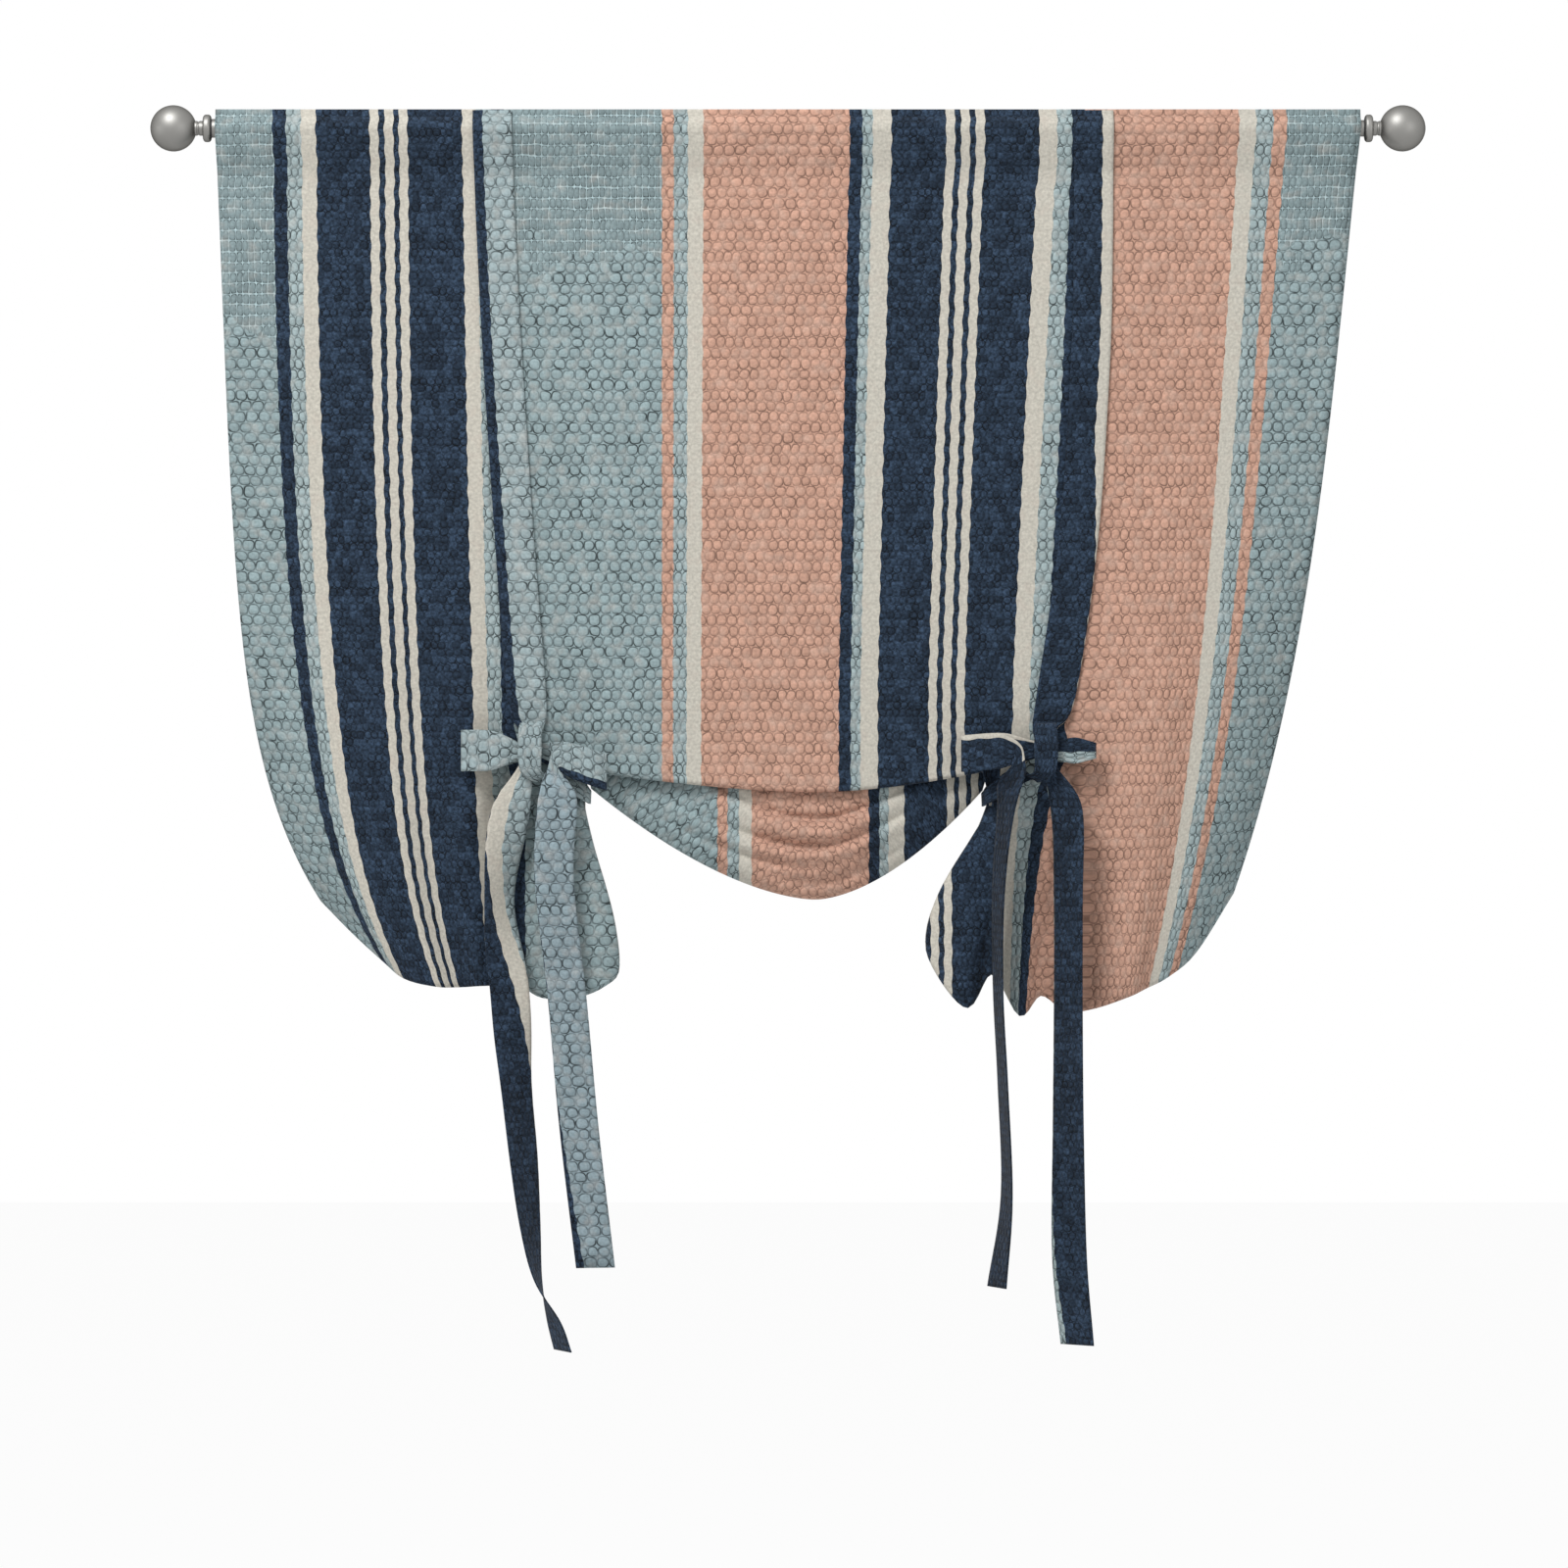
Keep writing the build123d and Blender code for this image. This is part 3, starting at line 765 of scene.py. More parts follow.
def heading_stations(front, lean):
    """Stations of a strap's top end, which lies over the pocket from the heading to its seam."""
    profile = pocket_corners()[2] if front else pocket_corners()[0][::-1]
    stand = strap_stand if front else -strap_stand
    stations = []
    for before, here, after in zip(profile[:1] + profile, profile, profile[1:] + profile[-1:]):
        along = Vector((after[0] - before[0], after[1] - before[1])).normalized()
        depth = here[0] + along.y * stand
        rise = knot_drop + here[1] - along.x * stand
        stations.append(hanging_station(depth, rise, lean))
    return stations


def hanging_stations(front, lower_rise, lean):
    """Stations of a strap from the heading, over the pocket and down to the knot."""
    stations = heading_stations(front, lean)
    for share in hang_shares:
        depth = -strap_stand - front_strap_slack * share
        if not front:
            depth = strap_stand + cloth_thickness + seam_gap + back_strap_slack * share
        stations.append(hanging_station(depth, blend(strap_hang, lower_rise, share), lean))
    return stations


def front_strap(lean, reach, tail, length, taper=0.0):
    """The stretches of a front strap: hanging, bow and tail."""
    bow = bow_stations(outer_bow_shares, reach, strap_width, taper=taper)
    return [
        hanging_stations(True, front_gather_share * strap_width, lean) + bow[:2],
        bow[2:],
        tail_stations(tail, outer_tail_depth_share, length, outer_tail_tilt),
    ]


def back_strap(lean, sling_reach, reach, tail, length, slope=0.0):
    """The stretches of a back strap: hanging, sling, wrap over the knot, bow and tail."""
    return [
        hanging_stations(False, back_gather_share * strap_width, lean),
        bow_stations(sling_shares, sling_reach, sling_reach),
        bow_stations(wrap_shares, strap_width, strap_width),
        bow_stations(inner_bow_shares, reach, strap_width, slope=slope),
        tail_stations(tail, inner_tail_depth_share, length, inner_tail_tilt),
    ]


left_outer_reach = 70.0
left_inner_reach = 77.0
left_sling_reach = 63.0
left_inner_slope = 0.24
left_outer_length = 610.0
left_inner_length = 525.0
right_outer_reach = 51.0
right_inner_reach = 85.0
right_sling_reach = 66.5
right_outer_taper = 0.62
right_outer_length = 604.0
right_inner_length = 545.0
stretches = {
    "left_front_strap": front_strap(
        left_lean, left_outer_reach, left_outer_tail_shares, left_outer_length),
    "left_back_strap": back_strap(
        left_lean, left_sling_reach, left_inner_reach, left_inner_tail_shares, left_inner_length,
        slope=left_inner_slope),
    "right_front_strap": front_strap(
        right_lean, right_outer_reach, right_outer_tail_shares, right_outer_length,
        taper=right_outer_taper),
    "right_back_strap": back_strap(
        right_lean, right_sling_reach, right_inner_reach, right_inner_tail_shares, right_inner_length),
}
for name, parts in stretches.items():
    print(name, "has", sum(len(part) for part in parts), "stations")

# %% [markdown]
# ## Winding a strap
# A strap is a grid again: rows along its stations and a few columns across. Where the strap is
# gathered to less than its width, its spare cloth goes into small pleats, as it does in a real knot.

# %% Build the straps
strap_row_steps = 8
strap_columns = 12
pleat_depth = 1.1
pleat_count = 3


def strap_across(tilt, yaw, inward):
    """Unit vector across a strap: tilt turns it in the panel's plane, yaw about the vertical."""
    tilt = math.radians(tilt)
    yaw = math.radians(yaw)
    level = math.cos(tilt)
    return Vector((inward * level * math.cos(yaw), level * math.sin(yaw), math.sin(tilt)))


def strap_columns_of(stations, inward):
    """Columns of points with UVs across a strap, and the strap's length."""
    knot = Vector((-inward * tie_offset, 0, -knot_drop))
    rows = smoothed(stations, strap_row_steps)
    centers = [knot + Vector((inward * row[0], row[1], row[2])) for row in rows]
    lengths = [0.0]
    for before, here in zip(centers, centers[1:]):
        lengths.append(lengths[-1] + (here - before).length)
    columns = []
    for column in range(strap_columns + 1):
        share = column / strap_columns - 0.5
        points = []
        for index, (_, _, _, width, tilt, yaw) in enumerate(rows):
            across = strap_across(tilt, yaw, inward)
            ahead = centers[min(index + 1, len(rows) - 1)] - centers[max(index - 1, 0)]
            normal = across.cross(ahead).normalized()
            gathered = max(0.0, 1 - width / strap_width) * (1 - abs(ahead.normalized().y))
            pleat = pleat_depth * gathered * math.cos(2 * math.pi * pleat_count * share)
            point = centers[index] + across * (width * share) + normal * pleat
            points.append((point, ((share + 0.5) * strap_width, lengths[-1] - lengths[index])))
        columns.append(points)
    return columns, lengths[-1]


def build_strap(name, node):
    """A strap piece, with one material slot for each of its stretches."""
    stations = [station for stretch in stretches[name] for station in stretch]
    inward = 1 if name.startswith("left") else -1
    columns, length = strap_columns_of(stations, inward)
    if inward < 0:
        columns.reverse()
    piece = grid_piece(name, columns)
    ends = []
    count = 0
    for stretch in stretches[name]:
        count += len(stretch)
        ends.append((count - 1) * strap_row_steps)
    rows = len(columns[0]) - 1
    for face in piece.data.polygons:
        row = rows - 1 - face.index // strap_columns
        face.material_index = sum(row >= end for end in ends[:-1])
    thicken(piece, strap_thickness, 0)
    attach(piece, HUNG)
    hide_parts(node)
    print(name, "is", round(length), "mm long")
    return piece


straps = {name: build_strap(name, name.replace("strap", "tie")) for name in stretches}

# %% [markdown]
# ## The printed cloth
# The cloth is a plain cotton printed to look like chunky basket weave: rows of plump ovals, each row
# set half an oval aside from the next, with dark gaps between them. Navy yarn is finer and cream
# stripes are nearly smooth. Nodes draw the ovals from the UVs, so the weave follows every fold.

# %% Node helper and colours
NUMBER = "ShaderNodeMath"
VECTOR = "ShaderNodeVectorMath"
REMAP = "ShaderNodeMapRange"
MIX = "ShaderNodeMix"
SPLIT = "ShaderNodeSeparateXYZ"
JOIN = "ShaderNodeCombineXYZ"
NOISE = "ShaderNodeTexNoise"
CHANCE = "ShaderNodeTexWhiteNoise"


def linear(text):
    """An sRGB hex value as the linear colour that nodes use."""
    channels = [int(text[i:i + 2], 16) / 255 for i in (1, 3, 5)]
    curve = [c / 12.92 if c <= 0.04045 else ((c + 0.055) / 1.055) ** 2.4 for c in channels]
    return (*curve, 1.0)


def add(tree, kind, inputs=None, **settings):
    """A node with its settings, and its inputs set or linked."""
    node = tree.nodes.new(kind)
    for key, value in settings.items():
        setattr(node, key, value)
    for key, value in (inputs or {}).items():
        if isinstance(value, bpy.types.NodeSocket):
            tree.links.new(value, node.inputs[key])
        else:
            node.inputs[key].default_value = value
    return node


def new_material(name):
    """An empty node material and its tree."""
    material = bpy.data.materials.new(name)
    material.use_nodes = True
    material.node_tree.nodes.clear()
    return material, material.node_tree


yarn_hex = {
    "teal": "#8d9fa2",
    "pale": "#98a8aa",
    "slate": "#8a9ba2",
    "mist": "#95a5a8",
    "navy": "#253242",
    # This darker navy is painted shade for the right back strap's tail, which is cut from the same navy
    # cloth.
    "shaded_navy": "#1c2735",
    "cream": "#c1bdb2",
    "orange": "#c09784",
}
# A yarn's kind says how it is woven, from navy's small bricks at 0 to smooth cream at 1.
yarn_kind = {
    "shaded_navy": 0.0, "navy": 0.0, "pale": 0.3, "teal": 0.6,
    "mist": 0.67, "slate": 0.67, "orange": 0.75, "cream": 1.0,
}
print("yarn colours:", sorted(yarn_hex))

# %% [markdown]
# ## The stripes
# The stripes are read from the cloth's flat width, from its left edge to its right. A colour ramp is
# kept as 256 steps, which on one ramp would be 5 mm each and too coarse for the thin stripes, so the
# width is shared out over six ramps.

# %% The stripes and their ramps
ramp_count = 6
stripe_starts_mm = [
    (0, "teal"), (58, "navy"), (72, "pale"), (87, "cream"), (102, "navy"), (157, "cream"),
    (166, "navy"), (172, "cream"), (181, "navy"), (187, "cream"), (196, "navy"), (251, "cream"),
    (266, "pale"), (281, "navy"), (295, "teal"), (455, "orange"), (467, "pale"), (482, "cream"),
    (498, "orange"), (647, "navy"), (660, "pale"), (670, "cream"), (689, "navy"), (745, "cream"),
    (754, "navy"), (760, "cream"), (769, "navy"), (775, "cream"), (784, "navy"), (840, "cream"),
    (858, "pale"), (873, "navy"), (887, "orange"), (1044, "cream"), (1061, "pale"), (1079, "orange"),
    (1092, "teal"),
]


def fill_ramp(node, stops):
    """Set a ramp's stops from places and yarns, with hard edges. Alpha holds the yarn's kind."""
    ramp = node.color_ramp
    ramp.interpolation = "CONSTANT"
    while len(ramp.elements) > 1:
        ramp.elements.remove(ramp.elements[-1])
    for index, (place, name) in enumerate(stops):
        stop = ramp.elements[0] if index == 0 else ramp.elements.new(place)
        stop.position = place
        stop.color = (*linear(yarn_hex[name])[:3], yarn_kind[name])


def stripe_stops(low, high):
    """The stripes between two places, as shares of the stretch from one to the other."""
    first = [name for start, name in stripe_starts_mm if start <= low][-1]
    inner = [((start - low) / (high - low), name) for start, name in stripe_starts_mm if low < start < high]
    return [(0.0, first)] + inner


def stripe_print(tree, across, _):
    """Colour and yarn kind of the stripe at a distance across the cloth, in metres."""
    colour = None
    for index in range(ramp_count):
        low = panel_width * index / ramp_count
        high = panel_width * (index + 1) / ramp_count
        place = add(tree, REMAP, {"Value": across, 1: low * MM, 2: high * MM})
        ramp = add(tree, "ShaderNodeValToRGB", {"Fac": place.outputs[0]})
        fill_ramp(ramp, stripe_stops(low, high))
        if colour is None:
            colour, kind = ramp.outputs
            continue
        past = add(tree, NUMBER, {0: across, 1: low * MM}, operation="GREATER_THAN").outputs[0]
        mix = {"Factor": past, 6: colour, 7: ramp.outputs[0]}
        colour = add(tree, MIX, mix, data_type="RGBA").outputs[2]
        kind = add(tree, MIX, {"Factor": past, 2: kind, 3: ramp.outputs[1]}).outputs[0]
    return colour, kind


print(len(stripe_starts_mm), "stripes")

# %% [markdown]
# ## Threads that wander
# Woven threads never run quite straight. Noise pushes the weave about by a millimetre or two, and the
# edges of the stripes by less. Those edges also swell and shrink with the rows of the weave.

# %% Wandering threads
brick_mm = (12.4, 10.9)
wander_mm = 5.0
edge_wander_mm = 0.9
wander_pitch_mm = 15.0
scallop_mm = 0.6


def wandering_threads(tree):
    """UVs, their noise, the weave's UVs, and the stripes' place: at their edge, across and down."""
    uv = add(tree, "ShaderNodeUVMap", uv_map="cloth").outputs[0]
    noise = add(tree, NOISE, {"Vector": uv, "Scale": 1 / (wander_pitch_mm * MM)})
    centred = add(tree, VECTOR, {0: noise.outputs["Color"], 1: (0.5, 0.5, 0.5)}, operation="SUBTRACT")
    moved = []
    for reach in (wander_mm, edge_wander_mm):
        push = add(tree, VECTOR, {0: centred.outputs[0], "Scale": reach * MM}, operation="SCALE")
        moved.append(add(tree, VECTOR, {0: uv, 1: push.outputs[0]}, operation="ADD").outputs[0])
    across, down, _ = add(tree, SPLIT, {0: moved[1]}).outputs
    turns = add(tree, NUMBER, {0: down, 1: math.pi / (brick_mm[1] * MM)}, operation="MULTIPLY").outputs[0]
    swell = add(tree, NUMBER, {0: turns}, operation="SINE").outputs[0]
    swollen = {0: swell, 1: scallop_mm * MM, 2: across}
    edge = add(tree, NUMBER, swollen, operation="MULTIPLY_ADD").outputs[0]
    return uv, noise.outputs[0], moved[0], edge, across, down


print("threads wander by up to", wander_mm / 2, "mm")

# %% [markdown]
# ## The weave
# Each kind of yarn has its own bricks: teal plump ones about 12 mm wide and 11 mm high, orange ones a
# little narrower, pale teal slim ones, navy small ones, and cream hardly any. Near the top edge the
# teal print turns into a grid of pale threads, down to a ragged line. Real threads are much finer,
# but this is how the print draws them.

# %% Sizes of the bricks
orange_brick_mm = 10.4
narrow_brick_mm = 7.8
grid_brick_mm = 6.4
low_brick_mm = 7.7
grid_reach_mm = (390.0, 310.0)
grid_span_mm = (60.0, 300.0)
grid_ragged_mm = 180.0
small_kind = 0.2
narrow_kind = 0.5
kind_slack = 0.05


def yarn_masks(tree, kind):
    """Whether a yarn is navy, narrow, teal or orange, each as 0 or 1."""
    masks = [
        add(tree, NUMBER, {0: kind, 1: limit}, operation="LESS_THAN").outputs[0]
        for limit in (small_kind, narrow_kind)
    ]
    for name in ("teal", "orange"):
        near = {0: kind, 1: yarn_kind[name], 2: kind_slack}
        masks.append(add(tree, NUMBER, near, operation="COMPARE").outputs[0])
    return masks


def grid_mask(tree, blotch, across, down, is_teal):
    """1 where the teal print is a grid of pale threads, 0 below that."""
    reach = add(tree, REMAP, {
        "Value": across, 1: grid_span_mm[0] * MM, 2: grid_span_mm[1] * MM,
        3: grid_reach_mm[0] * MM, 4: grid_reach_mm[1] * MM,
    }).outputs[0]
    ragged = {0: blotch, 1: grid_ragged_mm * MM, 2: down}
    ragged = add(tree, NUMBER, ragged, operation="MULTIPLY_ADD").outputs[0]
    above = add(tree, NUMBER, {0: ragged, 1: reach}, operation="LESS_THAN").outputs[0]
    return add(tree, NUMBER, {0: above, 1: is_teal}, operation="MULTIPLY").outputs[0]


def brick_size(tree, is_small, is_narrow, is_orange, grid):
    """Width and height of a brick, which the yarn decides."""
    wide = brick_mm[0] * MM
    for mask, width in ((is_orange, orange_brick_mm), (is_narrow, narrow_brick_mm), (grid, grid_brick_mm)):
        wide = add(tree, REMAP, {"Value": mask, 3: wide, 4: width * MM}).outputs[0]
    tall = add(tree, REMAP, {"Value": is_small, 3: brick_mm[1] * MM, 4: low_brick_mm * MM}).outputs[0]
    return wide, tall


print("bricks from", grid_brick_mm, "to", brick_mm[0], "mm wide")

# %% [markdown]
# ## Rows of bricks
# Each row has its own brick width and is set aside by its own amount, except in the grid, whose
# columns are straight. A brick is a rounded square. How near a point is to its rim comes from a power
# sum of its distances from the brick's middle, and runs from 0 to about a half.

# %% Rows of bricks
brick_power = 2.7
row_stretch = {3: 0.86, 4: 1.14}


def brick_rows(tree, warped, wide, tall, grid):
    """Bricks to count, and a point's distances from its brick's middle and nearness to its rim."""
    height = add(tree, SPLIT, {0: warped}).outputs[1]
    row = add(tree, NUMBER, {0: height, 1: tall}, operation="DIVIDE").outputs[0]
    whole = add(tree, NUMBER, {0: row}, operation="FLOOR").outputs[0]
    draw = add(tree, CHANCE, {"W": whole}, noise_dimensions="1D").outputs["Value"]
    plain = add(tree, NUMBER, {0: 1.0, 1: grid}, operation="SUBTRACT").outputs[0]
    chosen = add(tree, MIX, {"Factor": plain, 2: 0.5, 3: draw}).outputs[0]
    stretch = add(tree, REMAP, {"Value": chosen, **row_stretch}).outputs[0]
    row_wide = add(tree, NUMBER, {0: wide, 1: stretch}, operation="MULTIPLY").outputs[0]
    size = add(tree, JOIN, {0: row_wide, 1: tall, 2: 1.0}).outputs[0]
    bricks = add(tree, VECTOR, {0: warped, 1: size}, operation="DIVIDE").outputs[0]
    half = add(tree, NUMBER, {0: whole, 1: 0.5, 2: chosen}, operation="MULTIPLY_ADD").outputs[0]
    half = add(tree, NUMBER, {0: half, 1: plain}, operation="MULTIPLY").outputs[0]
    aside = add(tree, JOIN, {0: half}).outputs[0]
    shifted = add(tree, VECTOR, {0: bricks, 1: aside}, operation="ADD").outputs[0]
    within = add(tree, VECTOR, {0: shifted}, operation="FRACTION").outputs[0]
    local = add(tree, VECTOR, {0: within, 1: (0.5, 0.5, 0.0)}, operation="SUBTRACT").outputs[0]
    away = add(tree, VECTOR, {0: local}, operation="ABSOLUTE").outputs[0]
    sides = add(tree, SPLIT, {0: away}).outputs[:2]
    powers = [add(tree, NUMBER, {0: side, 1: brick_power}, operation="POWER").outputs[0] for side in sides]
    total = add(tree, NUMBER, {0: powers[0], 1: powers[1]}, operation="ADD").outputs[0]
    rim = add(tree, NUMBER, {0: total, 1: 1 / brick_power}, operation="POWER").outputs[0]
    return shifted, sides, rim


print("rows are", brick_mm[1], "mm high, navy ones", low_brick_mm, "mm")

# %% [markdown]
# ## Outlines and pale threads
# A thin dark outline runs round each brick, broken up by noise and weaker on orange. In the grid the
# outlines give way to pale threads between the bricks, some paler than others. A Map Range node reads
# the range in its inputs 1 and 2 and gives the one in 3 and 4, so the ranges below are kept that way.

# %% Outlines and threads
outline_place = 0.455
outline_range = {1: 0.02, 2: 0.095, 3: 1.0, 4: 0.0}
outline_dark = {3: 0.92, 4: 0.66}
outline_break = {1: 0.36, 2: 0.62, 4: 0.22}
outline_kept = {3: 1.0, 4: 0.7}
thread_range = {1: 0.39, 2: 0.48, 3: -0.26, 4: 0.42}
thread_strength = {1: 0.35, 2: 0.65, 3: 0.55, 4: 1.25}
brick_light = 1.05


def brick_shade(tree, sides, rim, noise, blotch, is_orange, grid):
    """How light a point of a brick is, with its outline and the grid's threads."""
    beside = add(tree, NUMBER, {0: rim, 1: outline_place}, operation="SUBTRACT").outputs[0]
    beside = add(tree, NUMBER, {0: beside}, operation="ABSOLUTE").outputs[0]
    ring = {"Value": beside, **outline_range}
    outline = add(tree, REMAP, ring, interpolation_type="SMOOTHSTEP").outputs[0]
    dark = add(tree, REMAP, {"Value": is_orange, **outline_dark}).outputs[0]
    broken = add(tree, REMAP, {"Value": noise, 3: dark, **outline_break}).outputs[0]
    kept = add(tree, REMAP, {"Value": grid, **outline_kept}).outputs[0]
    border = add(tree, NUMBER, {0: sides[0], 1: sides[1]}, operation="MAXIMUM").outputs[0]
    thread = add(tree, REMAP, {"Value": border, **thread_range}).outputs[0]
    strength = add(tree, REMAP, {"Value": blotch, **thread_strength}).outputs[0]
    for factor in (broken, kept):
        outline = add(tree, NUMBER, {0: outline, 1: factor}, operation="MULTIPLY").outputs[0]
    for factor in (strength, grid):
        thread = add(tree, NUMBER, {0: thread, 1: factor}, operation="MULTIPLY").outputs[0]
    light = add(tree, NUMBER, {0: brick_light, 1: outline}, operation="SUBTRACT").outputs[0]
    return add(tree, NUMBER, {0: light, 1: thread}, operation="ADD").outputs[0]


print("outlines darken a brick by up to", outline_dark[3])

# %% [markdown]
# ## Uneven dye
# Brightness is uneven from brick to brick and from fleck to fleck, most of all on navy. The ranges
# below are for the other yarns and then for navy. In patches the dye has taken less well.

# %% Uneven dye
fleck_pitch_mm = 3.0
fleck_detail = 3.0
fleck_range = {1: 0.3, 2: 0.7}
fleck_low = {3: 0.84, 4: 0.40}
fleck_high = {3: 1.16, 4: 1.75}
brick_low = {3: 0.91, 4: 0.62}
brick_high = {3: 1.09, 4: 1.52}
patch_range = {1: 0.5, 2: 0.75, 3: 0.0, 4: 0.32}
undyed_hex = "#b5a79c"


def uneven_light(tree, uv, shifted, is_small):
    """How much lighter or darker a point is for its brick, and for its fleck."""
    brick = add(tree, VECTOR, {0: shifted}, operation="FLOOR").outputs[0]
    chance = add(tree, CHANCE, {"Vector": brick}, noise_dimensions="2D").outputs["Value"]
    low = add(tree, REMAP, {"Value": is_small, **brick_low}).outputs[0]
    high = add(tree, REMAP, {"Value": is_small, **brick_high}).outputs[0]
    uneven = add(tree, REMAP, {"Value": chance, 3: low, 4: high}).outputs[0]
    grain = {"Vector": uv, "Scale": 1 / (fleck_pitch_mm * MM), "Detail": fleck_detail}
    fleck = add(tree, NOISE, grain).outputs[0]
    low = add(tree, REMAP, {"Value": is_small, **fleck_low}).outputs[0]
    high = add(tree, REMAP, {"Value": is_small, **fleck_high}).outputs[0]
    return uneven, add(tree, REMAP, {"Value": fleck, **fleck_range, 3: low, 4: high}).outputs[0]


def uneven_dye(tree, colour, noise, is_small):
    """The print's colour with its pale patches, which navy doesn't have."""
    patchy = add(tree, REMAP, {"Value": noise, **patch_range}).outputs[0]
    patchy = add(tree, REMAP, {"Value": is_small, 3: patchy, 4: 0.0}).outputs[0]
    dyed = {"Factor": patchy, 6: colour, 7: linear(undyed_hex)}
    return add(tree, MIX, dyed, data_type="RGBA").outputs[2]


print("flecks:", fleck_pitch_mm, "mm")

# %% [markdown]
# ## The cloth's material
# Put together, that is a matt cotton with hardly any sheen, whose plump bricks stand up a little. On
# the back of the panel the print only shines through, so there it is mixed with cream.

# %% Cloth material
blotch_pitch_mm = 45.0
weave_range = {1: 0.85, 2: 0.95, 3: 1.0, 4: 0.10}
plump_range = {1: 0.52, 2: 0.15, 3: 0.0, 4: 1.0}
bump_mm = 0.9
bump_strength = 0.85
cloth_roughness = 0.88
cloth_specular = 0.15
cloth_sheen = 0.05
sheen_roughness = 0.5
back_fade = 0.62


def cloth_material(name, print_of, fade=0.0):
    """Printed basket weave. print_of gives colour and yarn kind, and fade how far the back is paler."""
    material, tree = new_material(name)
    uv, noise, warped, edge, across, down = wandering_threads(tree)
    colour, kind = print_of(tree, edge, down)
    is_small, is_narrow, is_teal, is_orange = yarn_masks(tree, kind)
    blotch = add(tree, NOISE, {"Vector": uv, "Scale": 1 / (blotch_pitch_mm * MM)}).outputs[0]
    grid = grid_mask(tree, blotch, across, down, is_teal)
    wide, tall = brick_size(tree, is_small, is_narrow, is_orange, grid)
    shifted, sides, rim = brick_rows(tree, warped, wide, tall, grid)
    shade = brick_shade(tree, sides, rim, noise, blotch, is_orange, grid)
    uneven, flecked = uneven_light(tree, uv, shifted, is_small)
    weave = add(tree, REMAP, {"Value": kind, **weave_range}).outputs[0]
    shade = add(tree, NUMBER, {0: shade, 1: uneven}, operation="MULTIPLY").outputs[0]
    shade = add(tree, MIX, {"Factor": weave, 2: 1.0, 3: shade}).outputs[0]
    shade = add(tree, NUMBER, {0: shade, 1: flecked}, operation="MULTIPLY").outputs[0]
    dyed = uneven_dye(tree, colour, noise, is_small)
    shaded = add(tree, VECTOR, {0: dyed, "Scale": shade}, operation="SCALE").outputs[0]
    if fade:
        pale = {"Factor": fade, 6: shaded, 7: linear(yarn_hex["cream"])}
        shaded = add(tree, MIX, pale, data_type="RGBA").outputs[2]
    round_brick = {"Value": rim, **plump_range}
    plump = add(tree, REMAP, round_brick, interpolation_type="SMOOTHSTEP").outputs[0]
    relief = add(tree, NUMBER, {0: plump, 1: weave}, operation="MULTIPLY").outputs[0]
    raised = {"Height": relief, "Distance": bump_mm * MM, "Strength": bump_strength}
    bump = add(tree, "ShaderNodeBump", raised).outputs[0]
    cloth = add(tree, "ShaderNodeBsdfPrincipled", {
        "Base Color": shaded, "Roughness": cloth_roughness, "Specular IOR Level": cloth_specular,
        "Sheen Weight": cloth_sheen, "Sheen Roughness": sheen_roughness, "Normal": bump,
    })
    add(tree, "ShaderNodeOutputMaterial", {"Surface": cloth.outputs[0]})
    return material


panel.data.materials.append(cloth_material("printed_cotton", stripe_print))
panel.data.materials.append(cloth_material("printed_cotton_back", stripe_print, back_fade))
print("panel materials:", [m.name for m in panel.data.materials])

# %% [markdown]
# ## The straps' print
# The straps are cut from the same cloth, a little off its threads, so the stripes slide slowly across
# them. Each stretch of a strap has the bands that show there, in shares of its width, and how far
# they slide between two distances from the strap's free end. A strap is folded double and sewn, so
# the print is on both its sides.

# %% Strap materials
strip_share = 2.0
strap_bands = {
    "navy_beside_mist": ([(0.0, "navy"), (0.25, "mist")], None),
    "mist": ([(0.0, "mist")], None),
    "mist_cream_navy": ([(0.0, "mist"), (0.55, "cream"), (1.0, "navy")], (516.0, 286.0, 0.0, 1.0)),
    "navy_below_mist": ([(0.0, "navy"), (0.22, "mist")], None),
    "slate_beside_navy": ([(0.0, "slate"), (1.0, "navy")], (190.0, 0.0, 0.0, 0.2)),
    "navy": ([(0.0, "navy")], None),
    # This all-dark band is navy painted darker: painted shade on the right inner tail.
    "shaded_navy": ([(0.0, "shaded_navy")], None),
    "cream_beside_navy": ([(0.0, "cream"), (0.31, "navy")], (1030.0, 900.0, 0.03, 0.31)),
    "navy_above_pale": ([(0.0, "navy"), (0.55, "pale")], None),
    "navy_below_cream": ([(0.0, "navy"), (0.88, "cream")], None),
    "pale_beside_navy": ([(0.0, "pale"), (0.2, "navy")], (170.0, 0.0, 0.2, 0.02)),
}


def band_print(tree, across, down, bands, slide):
    """Colour and yarn kind on a strap, from a strip of print that slides sideways along it."""
    strip = strip_share * strap_width * MM
    place = add(tree, NUMBER, {0: across, 1: strip}, operation="DIVIDE").outputs[0]
    if slide:
        start, end, first, last = slide
        span = {"Value": down, 1: start * MM, 2: end * MM, 3: first / strip_share, 4: last / strip_share}
        shift = add(tree, REMAP, span).outputs[0]
        place = add(tree, NUMBER, {0: place, 1: shift}, operation="ADD").outputs[0]
    ramp = add(tree, "ShaderNodeValToRGB", {"Fac": place})
    fill_ramp(ramp, [(share / strip_share, name) for share, name in bands])
    return ramp.outputs[0], ramp.outputs[1]


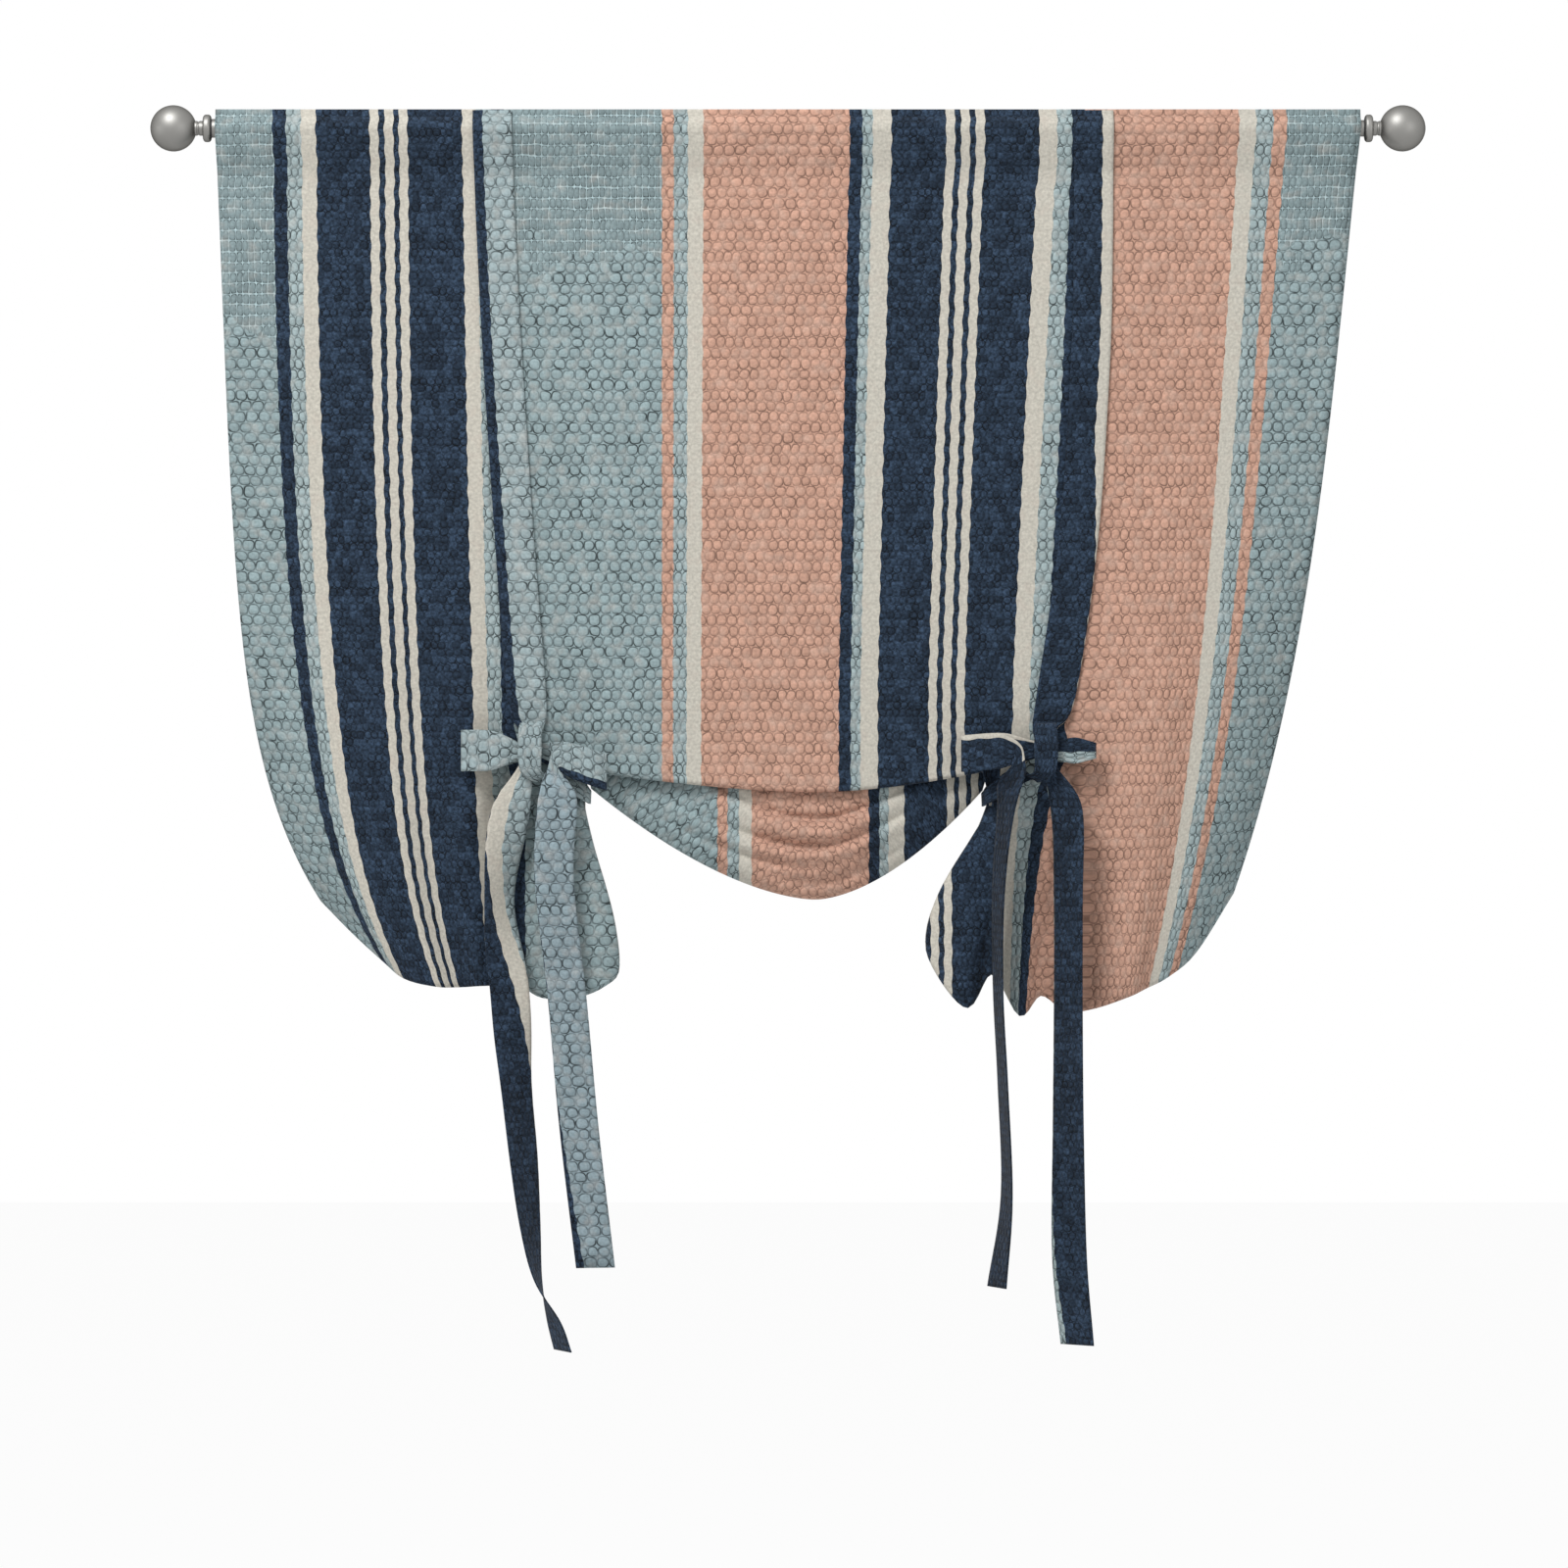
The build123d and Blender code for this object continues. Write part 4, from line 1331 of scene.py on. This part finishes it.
strap_cloth = {}
for name, (bands, slide) in strap_bands.items():
    strap_cloth[name] = cloth_material("strap_" + name, partial(band_print, bands=bands, slide=slide))
strap_print = {
    "left_front_strap": ["navy_beside_mist", "mist", "mist_cream_navy"],
    "left_back_strap": ["mist", "mist", "mist", "navy_below_mist", "slate_beside_navy"],
    "right_front_strap": ["cream_beside_navy", "navy_above_pale", "pale_beside_navy"],
    # The last stretch, the inner tail, gets navy painted darker as painted shade.
    "right_back_strap": ["navy", "navy", "navy", "navy_below_cream", "shaded_navy"],
}
for name, stretch_names in strap_print.items():
    for stretch_name in stretch_names:
        straps[name].data.materials.append(strap_cloth[stretch_name])
print("strap materials:", len(strap_cloth))

# %% [markdown]
# ## The metal
# The finials are brushed nickel: a warm grey metal whose fine turning marks run round the ball and
# blur its reflections. The rod inside the pocket has the same finish, its studs are plain zinc, and
# the end plugs are moulded plastic.

# %% Metal and plastic
# A dark specular tint darkens the metal towards its rim: a painted dark reflection.
painted_dark_rim_hex = "#5c5b59"
marks_round_per_metre = 12.0
mark_detail = 4.0
mark_roughness = 0.08
mark_depth_mm = 0.05
mark_strength = 0.25
plastic_roughness = {3: 0.45, 4: 0.6}


def turned_metal(name, hex_colour, roughness, groove_mm):
    """Metal with fine marks round the rod's axis."""
    material, tree = new_material(name)
    place = add(tree, "ShaderNodeTexCoord").outputs["Object"]
    scale = (1 / (groove_mm * MM), marks_round_per_metre, marks_round_per_metre)
    stretch = add(tree, "ShaderNodeMapping", {"Vector": place, "Scale": scale}).outputs[0]
    marks = add(tree, NOISE, {"Vector": stretch, "Scale": 1.0, "Detail": mark_detail}).outputs[0]
    spread = {"Value": marks, 3: roughness - mark_roughness, 4: roughness + mark_roughness}
    rough = add(tree, REMAP, spread).outputs[0]
    groove = {"Height": marks, "Distance": mark_depth_mm * MM, "Strength": mark_strength}
    metal = add(tree, "ShaderNodeBsdfPrincipled", {
        "Base Color": linear(hex_colour), "Metallic": 1.0, "Roughness": rough,
        # The dark specular tint paints a dark reflection round the rim.
        "Specular Tint": linear(painted_dark_rim_hex), "Normal": add(tree, "ShaderNodeBump", groove).outputs[0],
    })
    add(tree, "ShaderNodeOutputMaterial", {"Surface": metal.outputs[0]})
    return material


def moulded_plastic(name, hex_colour, grain_mm):
    """Plain moulded plastic with a fine grain."""
    material, tree = new_material(name)
    place = add(tree, "ShaderNodeTexCoord").outputs["Object"]
    grain = add(tree, NOISE, {"Vector": place, "Scale": 1 / (grain_mm * MM)}).outputs[0]
    rough = add(tree, REMAP, {"Value": grain, **plastic_roughness}).outputs[0]
    plastic = {"Base Color": linear(hex_colour), "Roughness": rough}
    plastic = add(tree, "ShaderNodeBsdfPrincipled", plastic).outputs[0]
    add(tree, "ShaderNodeOutputMaterial", {"Surface": plastic})
    return material


finishes = {
    turned_metal("brushed_nickel", "#908f8c", roughness=0.50, groove_mm=0.35): [
        "left_finial", "right_finial", "rod_outer_tube", "rod_inner_tube",
    ],
    turned_metal("zinc_plated_steel", "#a9adb0", roughness=0.40, groove_mm=0.8): [
        "left_finial_stud", "right_finial_stud",
    ],
    moulded_plastic("moulded_nylon", "#2a2a2b", grain_mm=0.6): ["left_end_plug", "right_end_plug"],
}
for material, nodes in finishes.items():
    for node in nodes:
        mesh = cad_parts[node].data
        mesh.materials.clear()
        mesh.materials.append(material)
print("finishes:", [material.name for material in finishes])

# %% [markdown]
# ## Light and floor
# The picture is a plain product shot: soft light from the front and white all round. The world and
# the floor are white where they are seen, and light the curtain less than that.

# %% Light and floor
floor_drop = 1950.0
floor_half = 12000.0
world_light = 0.42
floor_glow = 0.95
white = linear("#ffffff")
floor_grey = linear("#efefef")
# Each lamp's place and size in millimetres, and its watts.
lamps = {
    "key": ((-1500, -2400, 2700), 1500, 142),
    "fill": ((2600, -3200, 200), 2200, 22),
    "side": ((-3600, -1100, -300), 600, 8),
}


def seen_rays(tree):
    """1 for rays that show the background itself, 0 for those that light the curtain."""
    path = add(tree, "ShaderNodeLightPath").outputs
    seen = path["Is Camera Ray"]
    for kind in ("Is Glossy Ray", "Is Transmission Ray"):
        seen = add(tree, NUMBER, {0: seen, 1: path[kind]}, operation="MAXIMUM").outputs[0]
    return seen


def white_world():
    """An even white surround, at full white where it is seen."""
    world = bpy.data.worlds.new("white_surround")
    bpy.context.scene.world = world
    world.use_nodes = True
    tree = world.node_tree
    tree.nodes.clear()
    strength = add(tree, REMAP, {"Value": seen_rays(tree), 3: world_light, 4: 1.0}).outputs[0]
    sky = add(tree, "ShaderNodeBackground", {"Color": white, "Strength": strength})
    add(tree, "ShaderNodeOutputWorld", {"Surface": sky.outputs[0]})


def pale_floor():
    """A wide pale floor that keeps a faint shadow and is otherwise white."""
    ground = bmesh.new()
    bmesh.ops.create_grid(ground, x_segments=1, y_segments=1, size=floor_half * MM)
    bmesh.ops.translate(ground, verts=ground.verts, vec=(0, 0, -floor_drop * MM))
    mesh = bpy.data.meshes.new("floor")
    ground.to_mesh(mesh)
    ground.free()
    floor = bpy.data.objects.new("floor", mesh)
    bpy.context.scene.collection.objects.link(floor)
    material, tree = new_material("pale_floor")
    matt = add(tree, "ShaderNodeBsdfDiffuse", {"Color": floor_grey})
    glow = add(tree, "ShaderNodeEmission", {"Color": white, "Strength": 1.0})
    share = add(tree, NUMBER, {0: seen_rays(tree), 1: floor_glow}, operation="MULTIPLY").outputs[0]
    mixed = add(tree, "ShaderNodeMixShader", {0: share, 1: matt.outputs[0], 2: glow.outputs[0]})
    add(tree, "ShaderNodeOutputMaterial", {"Surface": mixed.outputs[0]})
    mesh.materials.append(material)


def soft_lamp(name, place_mm, size_mm, watts):
    """A square soft light aimed at the curtain's middle."""
    lamp = bpy.data.lights.new(name, "AREA")
    lamp.size = size_mm * MM
    lamp.energy = watts
    holder = bpy.data.objects.new(name, lamp)
    holder.location = Vector(place_mm) * MM
    aim = Vector((0, 0, -knot_drop)) * MM - holder.location
    holder.rotation_euler = aim.to_track_quat("-Z", "Y").to_euler()
    bpy.context.scene.collection.objects.link(holder)


white_world()
pale_floor()
for name, (place_mm, size_mm, watts) in lamps.items():
    soft_lamp(name, place_mm, size_mm, watts)
print("lamps:", list(lamps))

# %% [markdown]
# ## Camera
# The camera is level with the middle of the picture, and far enough away that nothing looks wide. Its
# lens follows from that distance and from the width that the picture takes in.

# %% Camera
photo_width_mm = 1600.0
camera_distance = 6000.0
sensor_mm = 36.0
photo_center_mm = (-4.0, -669.0)
camera = bpy.data.cameras.new("camera")
camera.sensor_width = sensor_mm
camera.lens = sensor_mm * camera_distance / photo_width_mm
viewer = bpy.data.objects.new("camera", camera)
viewer.location = Vector((photo_center_mm[0], -camera_distance, photo_center_mm[1])) * MM
viewer.rotation_euler = (math.pi / 2, 0, 0)
bpy.context.scene.collection.objects.link(viewer)
bpy.context.scene.camera = viewer
bpy.context.scene.view_settings.view_transform = "Standard"
print("lens:", camera.lens, "mm")
